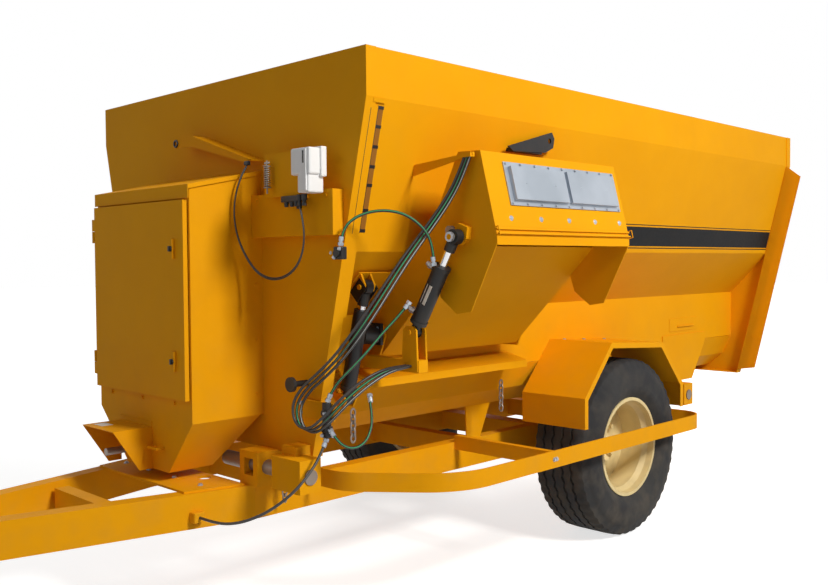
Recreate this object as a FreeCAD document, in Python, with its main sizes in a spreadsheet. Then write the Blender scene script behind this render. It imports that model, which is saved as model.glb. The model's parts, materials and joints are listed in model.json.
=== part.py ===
import FreeCAD, Part

import math
import os
import re

import Sketcher

# Trailed feed mixer wagon: a four-auger tub on a single-axle drawbar frame, with a slat
# conveyor on its left side and a chain cabinet at the front.  Millimetres, +Z up, +X to the
# machine's left (the discharge side), +Y to the rear.  The parts are drawn about the foot of
# the tub's front wall on the ground, then carried so that the origin is the hitch pin.

Vector = FreeCAD.Vector

DIMENSIONS = {
    # tub
    "tub_length": 4380, "top_half": 1150, "foot_half": 763, "top_height": 2590,
    "band_height": 2376, "foot_height": 777, "bend_height": 1715, "box_half": 689,
    "box_top": 1411, "side_wall": 5, "end_wall": 8, "floor_wall": 6,
    "corner_wall": 6, "corner_depth": 60, "rim_fold": 35, "cover_foot": 1788, "cover_top": 1988,
    "cover_depth": 60, "cover_left": 1000,
    # augers
    "lower_auger_x": 345, "lower_auger_z": 1135, "upper_auger_x": 680, "upper_auger_z": 1880,
    "auger_radius": 300, "auger_tube": 84, "auger_shaft": 35, "flight_wall": 8, "auger_pitch": 480,
    "auger_gap": 20, "trough_tilt": 12, "bearing_radius": 62,
    # running gear
    "axle_y": 2220, "tyre_radius": 536, "tyre_width": 385, "wheel_mid": 920, "bead_radius": 286,
    "flange_radius": 299, "rim_half": 149, "rim_wall": 7, "axle_half": 60, "spindle_radius": 38,
    # frame
    "rail_outer": 500, "rail_width": 75, "rail_foot": 463, "rail_top": 624,
    "rail_front": -130, "rail_rear": 3600, "hitch_y": -2050, "hitch_z": 545, "hitch_radius": 17,
    "tongue_nose": -1900, "nose_half": 80, "tongue_plate": 10, "guard_outer": 1198, "guard_foot": 578,
    "guard_height": 90, "guard_wall": 10, "fender_outer": 1130, "fender_wall": 5, "fender_lip": 32,
    "jack_x": 238, "jack_y": -1495, "jack_half": 35, "jack_leg_half": 27,
    # weighing supports
    "bar_z": 712, "bar_radius": 35, "bar_inner": 222, "bar_outer": 872, "socket_inner": 660,
    "front_bar_y": -90, "rear_bar_y": 3350,
    # cabinet
    "cabinet_left": 401, "cabinet_right": -474, "cabinet_front": -399, "cabinet_foot": 933,
    "cabinet_top": 2020, "roof_rise": 87, "roof_fold": 62, "cabinet_wall": 4,
    "door_foot": 1040, "door_top": 1956, "door_depth": 22, "hinge_x": -486, "hinge_y": -417, "knuckle_radius": 9,
    "shroud_foot": 678, "shroud_half": 190, "hood_right": -270, "hood_left": 40, "hood_top": 880,
    "pto_x": -115, "pto_z": 760, "pto_radius": 17.5,
    "main_shaft_z": 1420, "main_sprocket_radius": 290, "pinion_radius": 62, "chain_y": -217,
    # discharge
    "door_front": 470, "door_rear": 1410, "gate_gap": 3, "gate_wall": 6,
    "conveyor_front": 386, "conveyor_rear": 1437, "trough_wall": 5, "tail_along": 25,
    "tail_out": 150, "head_along": 705, "pan_out": 234, "lift_y": 330, "gate_cylinder_y": 205,
    "sill_wall": 6, "slat_reach": 40, "slat_band": 8, "shaft_radius": 20,
}

doc = FreeCAD.newDocument("FeedMixerWagon")
sheet = doc.addObject("Spreadsheet::Sheet", "Dims")
for row, (alias, size) in enumerate(DIMENSIONS.items(), start=1):
    sheet.set(f"A{row}", alias)
    sheet.set(f"B{row}", str(size))
    sheet.setAlias(f"B{row}", alias)
doc.recompute()

PLANE_TURN = {
    "XY": FreeCAD.Rotation(),
    "XZ": FreeCAD.Rotation(Vector(1, 0, 0), 90),
    "YZ": FreeCAD.Rotation(Vector(1, 1, 1), 120),
}
NORMAL = {"XY": Vector(0, 0, 1), "XZ": Vector(0, 1, 0), "YZ": Vector(1, 0, 0)}
OFFSET_CELL = {"XY": "z", "XZ": "y", "YZ": "x"}
NODES = {}


# ---------------------------------------------------------------- bound values and helpers

def bound(text):
    """An expression with each sheet alias written as a reference to the sheet."""
    return re.sub(r"[a-z][a-z_]+", lambda m: "Dims." + m[0] if m[0] in DIMENSIONS else m[0], str(text))


def number(text):
    """The present value of an expression in the sheet's aliases."""
    return float(sheet.evalExpression(str(text)))


def keep(item, label):
    """Enter a finished object as the sub-part of that name."""
    item.Label = label
    NODES[label] = item
    return item


def draw_loop(sketch, points, closed=True):
    """Straight edges through points whose coordinates are expressions in the sheet's aliases."""
    first = sketch.GeometryCount
    spots = [Vector(number(a), number(b), 0) for a, b in points]
    ends = spots[1:] + spots[:1] if closed else spots[1:]
    for here, there in zip(spots, ends):
        sketch.addGeometry(Part.LineSegment(here, there))
    last = sketch.GeometryCount - 1
    for edge in range(first, last):
        sketch.addConstraint(Sketcher.Constraint("Coincident", edge, 2, edge + 1, 1))
    if closed:
        sketch.addConstraint(Sketcher.Constraint("Coincident", last, 2, first, 1))
    for index, (point, spot) in enumerate(zip(points, spots)):
        edge, end = (first + index, 1) if first + index <= last else (last, 2)
        for kind, text, value in (("DistanceX", point[0], spot.x), ("DistanceY", point[1], spot.y)):
            place = sketch.addConstraint(Sketcher.Constraint(kind, -1, 1, edge, end, value))
            if re.search("[a-z]", str(text)):
                sketch.setExpression(f"Constraints[{place}]", bound(text))


def draw_circle(sketch, across, up, radius):
    """A circle whose centre and radius are expressions."""
    spot = Vector(number(across), number(up), 0)
    edge = sketch.addGeometry(Part.Circle(spot, Vector(0, 0, 1), number(radius)))
    wanted = (
        (Sketcher.Constraint("DistanceX", -1, 1, edge, 3, spot.x), across),
        (Sketcher.Constraint("DistanceY", -1, 1, edge, 3, spot.y), up),
        (Sketcher.Constraint("Radius", edge, number(radius)), radius),
    )
    for constraint, text in wanted:
        place = sketch.addConstraint(constraint)
        if re.search("[a-z]", str(text)):
            sketch.setExpression(f"Constraints[{place}]", bound(text))


def fill_sketch(sketch, loops):
    """Draw every loop: a list of points, or a circle's centre and radius."""
    for loop in loops:
        if isinstance(loop, tuple):
            draw_circle(sketch, *loop)
        else:
            draw_loop(sketch, loop)


def flat_sketch(plane, loops, start, closed=True):
    """A free sketch parallel to a principal plane, start away from it."""
    sketch = doc.addObject("Sketcher::SketchObject", "Profile")
    sketch.Placement = FreeCAD.Placement(NORMAL[plane] * number(start), PLANE_TURN[plane])
    sketch.setExpression(f"Placement.Base.{OFFSET_CELL[plane]}", bound(start))
    for loop in loops:
        if isinstance(loop, tuple):
            draw_circle(sketch, *loop)
        else:
            draw_loop(sketch, loop, closed)
    return sketch


def extruded(profile, plane, length):
    """The profile carried along its plane's positive axis."""
    solid = doc.addObject("Part::Extrusion", "Extrusion")
    solid.Base = profile
    solid.DirMode = "Custom"
    solid.Dir = NORMAL[plane]
    solid.Solid = True
    solid.setExpression("LengthFwd", bound(length))
    return solid


def slab(plane, loops, start, length):
    """A flat piece: loops (outline first, then holes) from start, length thick."""
    return extruded(flat_sketch(plane, loops, start), plane, length)


def folded(plane, path, start, length, wall):
    """A folded sheet: an open path thickened to the right of its travel by wall, then carried along.

    Seen with the plane's first axis pointing right and its second one up.
    """
    side = "-" if plane == "XZ" else ""
    strip = doc.addObject("Part::Offset2D", "Strip")
    strip.Source = flat_sketch(plane, [path], start, closed=False)
    strip.Mode = "Skin"
    strip.Fill = True
    strip.Join = 2
    strip.setExpression("Value", bound(f"{side}({wall})"))
    return extruded(strip, plane, length)


def block(low, high):
    """A box between two corners given as expressions."""
    box = doc.addObject("Part::Box", "Block")
    for axis, size, a, b in zip("xyz", ("Length", "Width", "Height"), low, high):
        box.setExpression(f"Placement.Base.{axis}", bound(a))
        box.setExpression(size, bound(f"({b}) - ({a})"))
    return box


def rod(axis, centre, start, length, radius):
    """A round bar along X, Y or Z; centre holds the two coordinates across it."""
    bar = doc.addObject("Part::Cylinder", "Bar")
    turn = {"X": FreeCAD.Rotation(Vector(0, 1, 0), 90), "Y": FreeCAD.Rotation(Vector(1, 0, 0), -90),
            "Z": FreeCAD.Rotation()}[axis]
    bar.Placement = FreeCAD.Placement(Vector(), turn)
    across = {"X": "yz", "Y": "xz", "Z": "xy"}[axis]
    bar.setExpression(f"Placement.Base.{axis.lower()}", bound(start))
    bar.setExpression(f"Placement.Base.{across[0]}", bound(centre[0]))
    bar.setExpression(f"Placement.Base.{across[1]}", bound(centre[1]))
    bar.setExpression("Height", bound(length))
    bar.setExpression("Radius", bound(radius))
    return bar


def fused(pieces):
    """Several touching solids as one."""
    joined = doc.addObject("Part::MultiFuse", "Fusion")
    joined.Shapes = list(pieces)
    joined.Refine = True
    return joined


def cut(base, *tools):
    """Base with the tools taken away."""
    for tool in tools:
        result = doc.addObject("Part::Cut", "Cut")
        result.Base = base
        result.Tool = tool
        base = result
    return base


def common(first, second):
    """The space two solids share."""
    shared = doc.addObject("Part::MultiCommon", "Common")
    shared.Shapes = [first, second]
    return shared


def together(pieces):
    """Separate like solids kept as one sub-part."""
    group = doc.addObject("Part::Compound", "Set")
    group.Links = list(pieces)
    return group


def mirrored(item):
    """The same piece on the other side of the machine."""
    twin = doc.addObject("Part::Mirroring", "Twin")
    twin.Source = item
    twin.Normal = Vector(1, 0, 0)
    return twin


def computed(shape):
    """A piece whose form none of the document's own features gives."""
    item = doc.addObject("Part::Feature", "Computed")
    item.Shape = shape
    return item


def body_with_sketch(plane, loops):
    """A PartDesign body and its first sketch on one of the body's own planes."""
    body = doc.addObject("PartDesign::Body", "Body")
    sketch = body.newObject("Sketcher::SketchObject", "Sketch")
    base = [item for item in body.Origin.OriginFeatures if item.Role == plane + "_Plane"][0]
    sketch.AttachmentSupport = [(base, "")]
    sketch.MapMode = "FlatFace"
    fill_sketch(sketch, loops)
    return body, sketch


def revolved(outline):
    """A PartDesign body of revolution about X, from an outline of (along, radius) points."""
    body, sketch = body_with_sketch("XY", [outline])
    turn = body.newObject("PartDesign::Revolution", "Revolution")
    turn.Profile = sketch
    turn.ReferenceAxis = (sketch, ["H_Axis"])
    turn.Angle = 360
    return body


def rounded_wire(points, radii):
    """Straight runs joined by tangent arcs; radii holds one radius per inner point."""
    spots = [Vector(*point) for point in points]
    edges = []
    start = spots[0]
    for before, corner, after, radius in zip(spots, spots[1:], spots[2:], radii):
        back = (before - corner).normalize()
        ahead = (after - corner).normalize()
        half_turn = (math.pi - back.getAngle(ahead)) / 2
        reach = radius * math.tan(half_turn)
        enter = corner + back * reach
        leave = corner + ahead * reach
        middle = corner + (back + ahead).normalize() * (radius / math.cos(half_turn) - radius)
        edges.append(Part.LineSegment(start, enter).toShape())
        edges.append(Part.Arc(enter, middle, leave).toShape())
        start = leave
    edges.append(Part.LineSegment(start, spots[-1]).toShape())
    return Part.Wire(edges)


# ---------------------------------------------------------------- discharge side frame
# The tub's left side slopes outward above the lower box.  Places near the discharge are
# given along that slope (from the lower box's top edge) and out from it.

def side_x(up):
    """How far out the tub's upper side stands at a height."""
    return f"(top_half - (band_height - ({up})) * (top_half - foot_half) / (band_height - foot_height))"


SLOPE_X = number(side_x("bend_height") + " - box_half")
SLOPE_Z = number("bend_height - box_top")
SLOPE_LENGTH = math.hypot(SLOPE_X, SLOPE_Z)
SLOPE_COS = SLOPE_X / SLOPE_LENGTH
SLOPE_SIN = SLOPE_Z / SLOPE_LENGTH


def on_slope(along, out):
    """X and Z expressions of a point along the discharge slope and out from it."""
    across = f"box_half + ({along}) * {SLOPE_COS:.6f} + ({out}) * {SLOPE_SIN:.6f}"
    up = f"box_top + ({along}) * {SLOPE_SIN:.6f} - ({out}) * {SLOPE_COS:.6f}"
    return across, up


TAIL = on_slope("tail_along", "tail_out")
HEAD = on_slope("head_along", "tail_out")
LIFT_LOW = ("1108", "1348")
LIFT_HIGH = ("1360", "1775")
GATE_LOW = ("775", "1020")
GATE_HIGH = on_slope("262", "62")
HOOD_TOP = (1457, 2148)
HOOD_FOOT = (1550, 1779)


def on_hood(down, out):
    """A point of the spout's front panel, down from its top edge and out from its face."""
    fall = math.hypot(HOOD_FOOT[0] - HOOD_TOP[0], HOOD_FOOT[1] - HOOD_TOP[1])
    lean, drop = (HOOD_FOOT[0] - HOOD_TOP[0]) / fall, (HOOD_TOP[1] - HOOD_FOOT[1]) / fall
    return HOOD_TOP[0] + down * lean + out * drop, HOOD_TOP[1] - down * drop + out * lean


# ---------------------------------------------------------------- tub

def trough_points():
    """The press-brake folds of the twin-trough floor, from the left side to the right."""
    start = number("trough_tilt")
    radius = (number("box_half") - number("lower_auger_x")) / math.cos(math.radians(start))
    folds = 6
    step = (180 - 2 * start) / folds
    half = []
    for index in range(folds):
        angle = math.radians(-start - step * index)
        across = f"lower_auger_x + {radius * math.cos(angle):.2f}"
        up = f"lower_auger_z + {radius * math.sin(angle):.2f}"
        half.append((across, up))
    ridge = ("0", f"lower_auger_z - {radius * math.sin(math.radians(start)):.2f}")
    other = [(f"-({across})", up) for across, up in reversed(half)]
    return half + [ridge] + other


def side_path():
    """The outer line of a side sheet, from its rim fold down to the floor."""
    foot = "lower_auger_z - (box_half - lower_auger_x) * tan(trough_tilt * 1 deg) + 4"
    return [("top_half - rim_fold", "top_height"), ("top_half", "top_height"),
            ("top_half", "band_height"), (side_x("bend_height"), "bend_height"),
            ("box_half", "box_top"), ("box_half", foot)]


def make_sides():
    """Both side sheets; the left one has the discharge opening in its slope."""
    length = "tub_length - 2 * end_wall"
    right = folded("XZ", side_path(), "end_wall", length, "side_wall")
    keep(mirrored(right), "tub_right_side")
    left = folded("XZ", side_path(), "end_wall", length, "side_wall")
    opening = slab("XZ", [[on_slope(20, 20), on_slope(320, 20), on_slope(320, -20),
                           on_slope(20, -20)]], "door_front", "door_rear - door_front")
    keep(cut(left, opening), "tub_left_side")


def make_floor():
    """The floor: two troughs folded side by side under the lower augers."""
    floor = folded("XZ", trough_points(), "end_wall", "tub_length - 2 * end_wall", "floor_wall")
    keep(floor, "tub_floor")


def end_outline(grow):
    """The end walls' outline, grown sideways and downward."""
    half = [(f"top_half + {grow}", "top_height"), (f"top_half + {grow}", "band_height"),
            (f"foot_half + {grow}", f"foot_height - {grow}")]
    return half + [(f"-({across})", up) for across, up in reversed(half)]


def auger_places():
    """The four auger shafts' X and Z expressions: lower left, lower right, upper left, upper right."""
    return [("lower_auger_x", "lower_auger_z"), ("-lower_auger_x", "lower_auger_z"),
            ("upper_auger_x", "upper_auger_z"), ("-upper_auger_x", "upper_auger_z")]


def make_end_walls():
    """Front and rear plates with folded corner flanges that hold the sides."""
    holes = [(across, up, "auger_shaft + 1") for across, up in auger_places()]
    for label, start, room in (("tub_front_wall", 0, "end_wall"),
                               ("tub_rear_wall", "tub_length - corner_depth", "tub_length - end_wall - corner_depth")):
        outer = slab("XZ", [end_outline("corner_wall")] + holes, start, "corner_depth")
        inside = slab("XZ", [end_outline(0)], room, "corner_depth")
        keep(cut(outer, inside), label)


def flight_shell(length, hand, folds):
    """A closed shell of flat facets for one auger flight, from Y = 0 to length."""
    inner = number("auger_tube") - 2
    outer = number("auger_radius")
    wall = number("flight_wall")
    turns = length / number("auger_pitch")
    count = int(folds * turns)
    rings = []
    for index in range(count + 1):
        angle = hand * 2 * math.pi * turns * index / count
        along = (length - wall) * index / count
        ray = Vector(math.cos(angle), 0, math.sin(angle))
        rings.append([ray * inner + Vector(0, along, 0), ray * outer + Vector(0, along, 0),
                      ray * outer + Vector(0, along + wall, 0), ray * inner + Vector(0, along + wall, 0)])
    faces = []

    def facet(*corners):
        faces.append(Part.Face(Part.makePolygon(list(corners) + [corners[0]])))

    for ring, following in zip(rings, rings[1:]):
        for side in range(4):
            a, b = ring[side], ring[(side + 1) % 4]
            c, d = following[(side + 1) % 4], following[side]
            facet(a, b, c)
            facet(a, c, d)
    for ring in (rings[0], rings[-1]):
        facet(*ring)
    return Part.makeSolid(Part.makeShell(faces))


def make_auger(label, across, up, hand):
    """One auger: a tube, end shafts and a flight that runs the length of the tub."""
    gap = number("auger_gap")
    length = number("tub_length - 2 * end_wall") - 2 * gap
    spot = Vector(number(across), number("end_wall") + gap, number(up))
    tube = rod("Y", (across, up), "end_wall + auger_gap", "tub_length - 2 * (end_wall + auger_gap)", "auger_tube")
    shaft = rod("Y", (across, up), -45, "tub_length + 105", "auger_shaft")
    flight = flight_shell(length, hand, 16)
    flight.translate(spot)
    keep(fused([tube, shaft, computed(flight)]), label)


def make_augers():
    """Two lower augers that feed forward and two upper ones that return, hands mirrored."""
    labels = ("auger_lower_left", "auger_lower_right", "auger_upper_left", "auger_upper_right")
    for label, (across, up), hand in zip(labels, auger_places(), (1, -1, -1, 1)):
        make_auger(label, across, up, hand)


def make_chain_covers():
    """Shallow covers on the front wall over the drives to the upper augers."""
    covers = []
    for low, high in (("cabinet_left + 1", "cover_left"), ("-cover_left", "cabinet_right - 1")):
        shell = block((low, "-cover_depth", "cover_foot"), (high, 0, "cover_top"))
        room = block((f"{low} + 4", "4 - cover_depth", "cover_foot + 4"), (f"{high} - 4", 1, "cover_top - 4"))
        covers.append(cut(shell, room))
    keep(together(covers), "chain_covers")


def make_rear_bearings():
    """Four flanged bearing housings on the rear wall, one at each auger shaft."""
    housings = []
    for place in auger_places():
        plate = rod("Y", place, "tub_length", 16, "bearing_radius + 48")
        cap = rod("Y", place, "tub_length", 74, "bearing_radius")
        bore = rod("Y", place, "tub_length - 1", 67, "auger_shaft + 1")
        housings.append(cut(fused([plate, cap]), bore))
    keep(together(housings), "rear_bearings")


# ---------------------------------------------------------------- frame and running gear

def make_frame():
    """Two rectangular rails with cross members and a through hole for the axle."""
    rail = block(("rail_outer - rail_width", "rail_front", "rail_foot"), ("rail_outer", "rail_rear", "rail_top"))
    members = []
    for rear_edge in ("300", "1560", "3000", "rail_rear"):
        members.append(block(("rail_width - rail_outer", f"{rear_edge} - 80", "rail_foot + 20"),
                             ("rail_outer - rail_width", rear_edge, "rail_top - 20")))
    axle_room = block(("-rail_outer", "axle_y - axle_half", "tyre_radius - axle_half"),
                      ("rail_outer", "axle_y + axle_half", "tyre_radius + axle_half"))
    keep(cut(fused([rail, mirrored(rail)] + members), axle_room), "main_frame")


def beam_x(along):
    """Where the left drawbar beam's outer face stands at a Y."""
    return f"(nose_half + (({along}) - tongue_nose) * (rail_outer - nose_half) / (rail_front - tongue_nose))"


def make_drawbar():
    """Two converging beams from the rails to the nose, a brace and a slotted top plate."""
    outline = [("rail_outer", "rail_front"), ("nose_half", "tongue_nose"), ("0", "tongue_nose"),
               ("0", "tongue_nose + 80"), ("rail_outer - rail_width", "rail_front")]
    beam = slab("XY", [outline], "rail_foot", "rail_top - rail_foot")
    brace = block(("-240", "-760", "rail_foot + 25"), ("240", "-690", "rail_top - 25"))
    half = [(beam_x(-450) + " - 20", "-450"), (beam_x(-170) + " - 20", "-170")]
    other = [(f"-({across})", along) for across, along in reversed(half)]
    plate = slab("XY", [half + other, ("230", "-230", "32"), ("-230", "-230", "32")], "rail_top", "tongue_plate")
    keep(fused([beam, mirrored(beam), brace, plate]), "drawbar")


def make_hitch():
    """A clevis of two plates, bored for the drawbar pin."""
    ears = []
    for foot in ("hitch_z + 30", "hitch_z - 55"):
        ear = slab("XY", [[("-60", "tongue_nose"), ("-60", "hitch_y"), ("-36", "hitch_y - 52"),
                           ("36", "hitch_y - 52"), ("60", "hitch_y"), ("60", "tongue_nose")],
                          (0, "hitch_y", "hitch_radius")], foot, 25)
        ears.append(ear)
    web = block(("-60", "tongue_nose - 30", "hitch_z - 70"), ("60", "tongue_nose", "hitch_z + 70"))
    keep(fused(ears + [web]), "hitch_clevis")


def make_axle():
    """A square axle tube through the rails with a round spindle at each end."""
    tube = block(("-690", "axle_y - axle_half", "tyre_radius - axle_half"),
                 ("690", "axle_y + axle_half", "tyre_radius + axle_half"))
    spindle = rod("X", ("axle_y", "tyre_radius"), -895, 1790, "spindle_radius")
    keep(fused([tube, spindle]), "axle_beam")


def tyre_outline():
    """The tyre's section: tread and sidewalls outside, the air space inside."""
    half, tread = number("tyre_width") / 2, number("tyre_radius")
    seat, lip = number("bead_radius"), number("rim_half")
    outer = [(lip, seat), (lip, seat + 14), (half - 14, seat + 46), (half, seat + 118), (half - 10, tread - 66),
             (half - 20, tread - 20), (half - 36, tread - 4), (half - 70, tread)]
    inner = [(half - 62, tread - 30), (half - 34, tread - 70), (half - 20, seat + 118), (half - 34, seat + 50),
             (lip - 26, seat + 16), (lip - 30, seat)]
    left = [(-across, radius) for across, radius in outer]
    crown = [(across, radius) for across, radius in reversed(outer)]
    back = [(across, radius) for across, radius in reversed(inner)]
    return left + crown + back + [(-across, radius) for across, radius in inner]


def wheel_outline():
    """The disc wheel's section: drop-centre rim, inset disc and hub with a closed cap."""
    seat, lip, top = number("bead_radius"), number("rim_half"), number("flange_radius")
    wall, bore = number("rim_wall"), number("spindle_radius") + 1
    rim = [(lip + 9, top), (lip, top), (lip, seat), (lip - 34, seat - 3), (lip - 62, seat - 24)]
    tyre_side = rim + [(-across, radius) for across, radius in reversed(rim)]
    inboard = [(-lip - 9, seat - 6), (-lip + 30, seat - 3 - wall), (-lip + 58, seat - 24 - wall),
               (-60, seat - 24 - wall), (-66, 165), (-92, 130), (-92, 62), (-150, 62), (-150, bore)]
    cap = [(-20, bore), (-20, 0), (6, 0), (6, 30), (-4, 52), (-40, 56), (-40, 78), (-84, 84), (-84, 126),
           (-58, 162), (-52, seat - 24 - wall)]
    outboard = [(lip - 58, seat - 24 - wall), (lip - 30, seat - 3 - wall), (lip + 9, seat - 6)]
    return tyre_side + inboard + cap + outboard


def make_wheels():
    """Both wheels: a wide-base tyre on a disc wheel with its hub."""
    for side, name in ((1, "left"), (-1, "right")):
        place = FreeCAD.Placement(Vector(side * number("wheel_mid"), number("axle_y"), number("tyre_radius")),
                                  FreeCAD.Rotation(Vector(0, 0, 1), 0 if side > 0 else 180))
        for outline, kind in ((tyre_outline(), "tyre_"), (wheel_outline(), "wheel_")):
            item = revolved(outline)
            item.Placement = place
            keep(item, kind + name)


def make_guard():
    """The flat-bar rub rail round the left wheel, with its support arm."""
    outer = number("guard_outer")
    rail = number("rail_outer")
    route = [(rail, 190, 0), (760, 190, 0), (outer, 560, 0), (outer, 2950, 0), (rail, 2950, 0)]
    path = computed(rounded_wire(route, [260, 420, 150]))
    path.Placement.Base.z = number("guard_foot")
    strip = doc.addObject("Part::Offset2D", "Strip")
    strip.Source = path
    strip.Mode = "Skin"
    strip.Fill = True
    strip.setExpression("Value", bound("-guard_wall"))
    bar = extruded(strip, "XY", "guard_height")
    arm = block(("rail_outer", 1270, "guard_foot + 5"), ("guard_outer - guard_wall", 1310, "guard_foot + 85"))
    keep(fused([bar, arm]), "guard_rail")


def make_fenders():
    """Folded mudguards over the wheels, each with a turned-in outer edge."""
    line = [(1665, 718), (1665, 893), (1940, 1190), (2520, 1155), (2778, 875), (2778, 724)]
    skin = folded("YZ", line, "box_half", "fender_outer - box_half", "fender_wall")
    edge = folded("YZ", line, "fender_outer - fender_wall", "fender_wall", "fender_lip")
    fender = fused([skin, edge])
    keep(together([fender, mirrored(fender)]), "fenders")


def make_jack():
    """The parking jack beside the drawbar: an outer tube with its crank, and a leg with a foot."""
    x, y, half = number("jack_x"), number("jack_y"), number("jack_half")
    tube = cut(block((x - half, y - half, 380), (x + half, y + half, 900)),
               block((x - half + 6, y - half + 6, 379), (x + half - 6, y + half - 6, 892)))
    bracket = slab("XY", [[(beam_x(y - 60), y - 60), (x - half, y - 60), (x - half, y + 60),
                           (beam_x(y + 60), y + 60)]], "rail_foot + 20", "rail_top - rail_foot - 30")
    post = rod("Z", (x, y), 892, 60, 12)
    arm = rod("Y", (x, 940), y - 125, 125, 9)
    grip = rod("Z", (x, y - 120), 932, 90, 11)
    keep(fused([tube, bracket, post, arm, grip]), "jack_tube")
    inner = number("jack_leg_half")
    leg = block((x - inner, y - inner, 12), (x + inner, y + inner, 530))
    foot = block((x - 80, y - 80, 0), (x + 80, y + 80, 12))
    keep(fused([leg, foot]), "jack_leg")


# ---------------------------------------------------------------- weighing supports

def make_supports():
    """Round weigh bars across the frame, their saddles on the rails and sockets on the tub."""
    bars, holders = [], []
    for middle in ("front_bar_y", "rear_bar_y"):
        bars.append(rod("X", (middle, "bar_z"), "bar_inner", "bar_outer - bar_inner", "bar_radius"))
        saddle = block((409, f"{middle} - 60", "rail_top"), (551, f"{middle} + 60", 785))
        window = block((445, f"{middle} - 61", 672), (515, f"{middle} + 61", 752))
        socket = block(("socket_inner", f"{middle} - 60", 640), ("bar_outer - 7", f"{middle} + 60", 790))
        tunnel = rod("X", (middle, "bar_z"), "bar_inner - 10", "bar_outer - bar_inner + 20", "bar_radius")
        holders.append(cut(saddle, window, tunnel))
        if middle == "front_bar_y":
            hanger = block(("socket_inner", "front_bar_y", 780), (758, 0, 830))
        else:
            hanger = slab("YZ", [[(3290, 780), (3720, 780), (3923, 1052), (3923, 1120), (3290, 1120)]],
                          "box_half", 8)
        holders.append(cut(fused([socket, hanger]), tunnel))
    trough = slab("XZ", [trough_points()], 1300, 400)
    rest = cut(slab("YZ", [[(1380, "rail_top"), (1500, "rail_top"), (1610, 860), (1370, 860)]], 490, 8), trough)
    holders.append(rest)
    keep(together(bars + [mirrored(bar) for bar in bars]), "weigh_bars")
    keep(together(holders + [mirrored(item) for item in holders]), "pedestals")



# ---------------------------------------------------------------- front cabinet and drive

def make_cabinet():
    """The chain cabinet: an open-fronted box on the front wall, with its hinge leaves."""
    outer = slab("YZ", [[("cabinet_front", "cabinet_foot"), ("0", "cabinet_foot"),
                         ("0", "cabinet_top + roof_rise"), ("cabinet_front", "cabinet_top")]],
                 "cabinet_right", "cabinet_left - cabinet_right")
    inner = slab("YZ", [[("cabinet_front + cabinet_wall", "cabinet_foot - 10"), ("-cabinet_wall", "cabinet_foot - 10"),
                         ("-cabinet_wall", "cabinet_top + roof_rise + 40"),
                         ("cabinet_front + cabinet_wall", "cabinet_top + 40")]],
                 "cabinet_right + cabinet_wall", "cabinet_left - cabinet_right - 2 * cabinet_wall")
    doorway = block(("cabinet_right + 40", "cabinet_front - 10", "door_foot + 25"),
                    ("cabinet_left - 40", "cabinet_front + 10", "door_top - 25"))
    places = [("pto_x", "main_shaft_z"), ("lower_auger_x", "lower_auger_z"), ("-lower_auger_x", "lower_auger_z")]
    bores = [rod("Y", place, -50, 60, "auger_shaft + 1") for place in places]
    bearing = rod("Y", places[0], -40, 38, 70)
    hinges = []
    for foot in (1161, 1776):
        knuckle = rod("Z", ("hinge_x", "hinge_y"), foot, 59, "knuckle_radius")
        leaf = block(("cabinet_right - 4", "hinge_y", foot), ("cabinet_right", -330, f"{foot} + 59"))
        hinges += [knuckle, leaf]
    keep(cut(fused([cut(outer, inner, doorway), bearing] + hinges), *bores), "drive_cabinet")


def make_roof():
    """The folded roof sheet, sloping down to the front, with turned-down edges."""
    low, high = "cabinet_top + 2", "cabinet_top + roof_rise + 2"
    skin = slab("YZ", [[("cabinet_front - 12", low), ("-1", high), ("-1", f"{high} + 4"),
                        ("cabinet_front - 12", f"{low} + 4")]],
                "cabinet_right - 8", "cabinet_left - cabinet_right + 16")
    front = block(("cabinet_right - 8", "cabinet_front - 12", "cabinet_top + 6 - roof_fold"),
                  ("cabinet_left + 8", "cabinet_front - 8", "cabinet_top + 4"))
    edge = [("cabinet_front - 12", "cabinet_top - 14"), ("-1", "cabinet_top + roof_rise - 14"),
            ("-1", "cabinet_top + roof_rise + 4"), ("cabinet_front - 12", "cabinet_top + 4")]
    sides = [slab("YZ", [edge], start, 4) for start in ("cabinet_right - 8", "cabinet_left + 4")]
    keep(fused([skin, front] + sides), "cabinet_roof")


def make_door():
    """The cabinet door: a shallow pan with hinge knuckles on the right and two latches."""
    front = "cabinet_front - door_depth - 5"
    pan = cut(block(("cabinet_right + 12", front, "door_foot"), ("cabinet_left - 14", f"{front} + door_depth", "door_top")),
              block(("cabinet_right + 16", f"{front} + 4", "door_foot + 4"),
                    ("cabinet_left - 18", f"{front} + door_depth + 1", "door_top - 4")))
    fittings = []
    for foot in (1100, 1837):
        fittings.append(rod("Z", ("hinge_x", "hinge_y"), foot, 59, "knuckle_radius"))
        fittings.append(block(("hinge_x", front, foot), ("cabinet_right + 12", f"{front} + 4", f"{foot} + 59")))
    for middle in ("1217", "1735"):
        fittings.append(block(("290", f"{front} - 14", f"{middle} - 45"), ("316", front, f"{middle} + 45")))
    keep(fused([pan] + fittings), "cabinet_door")


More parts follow.
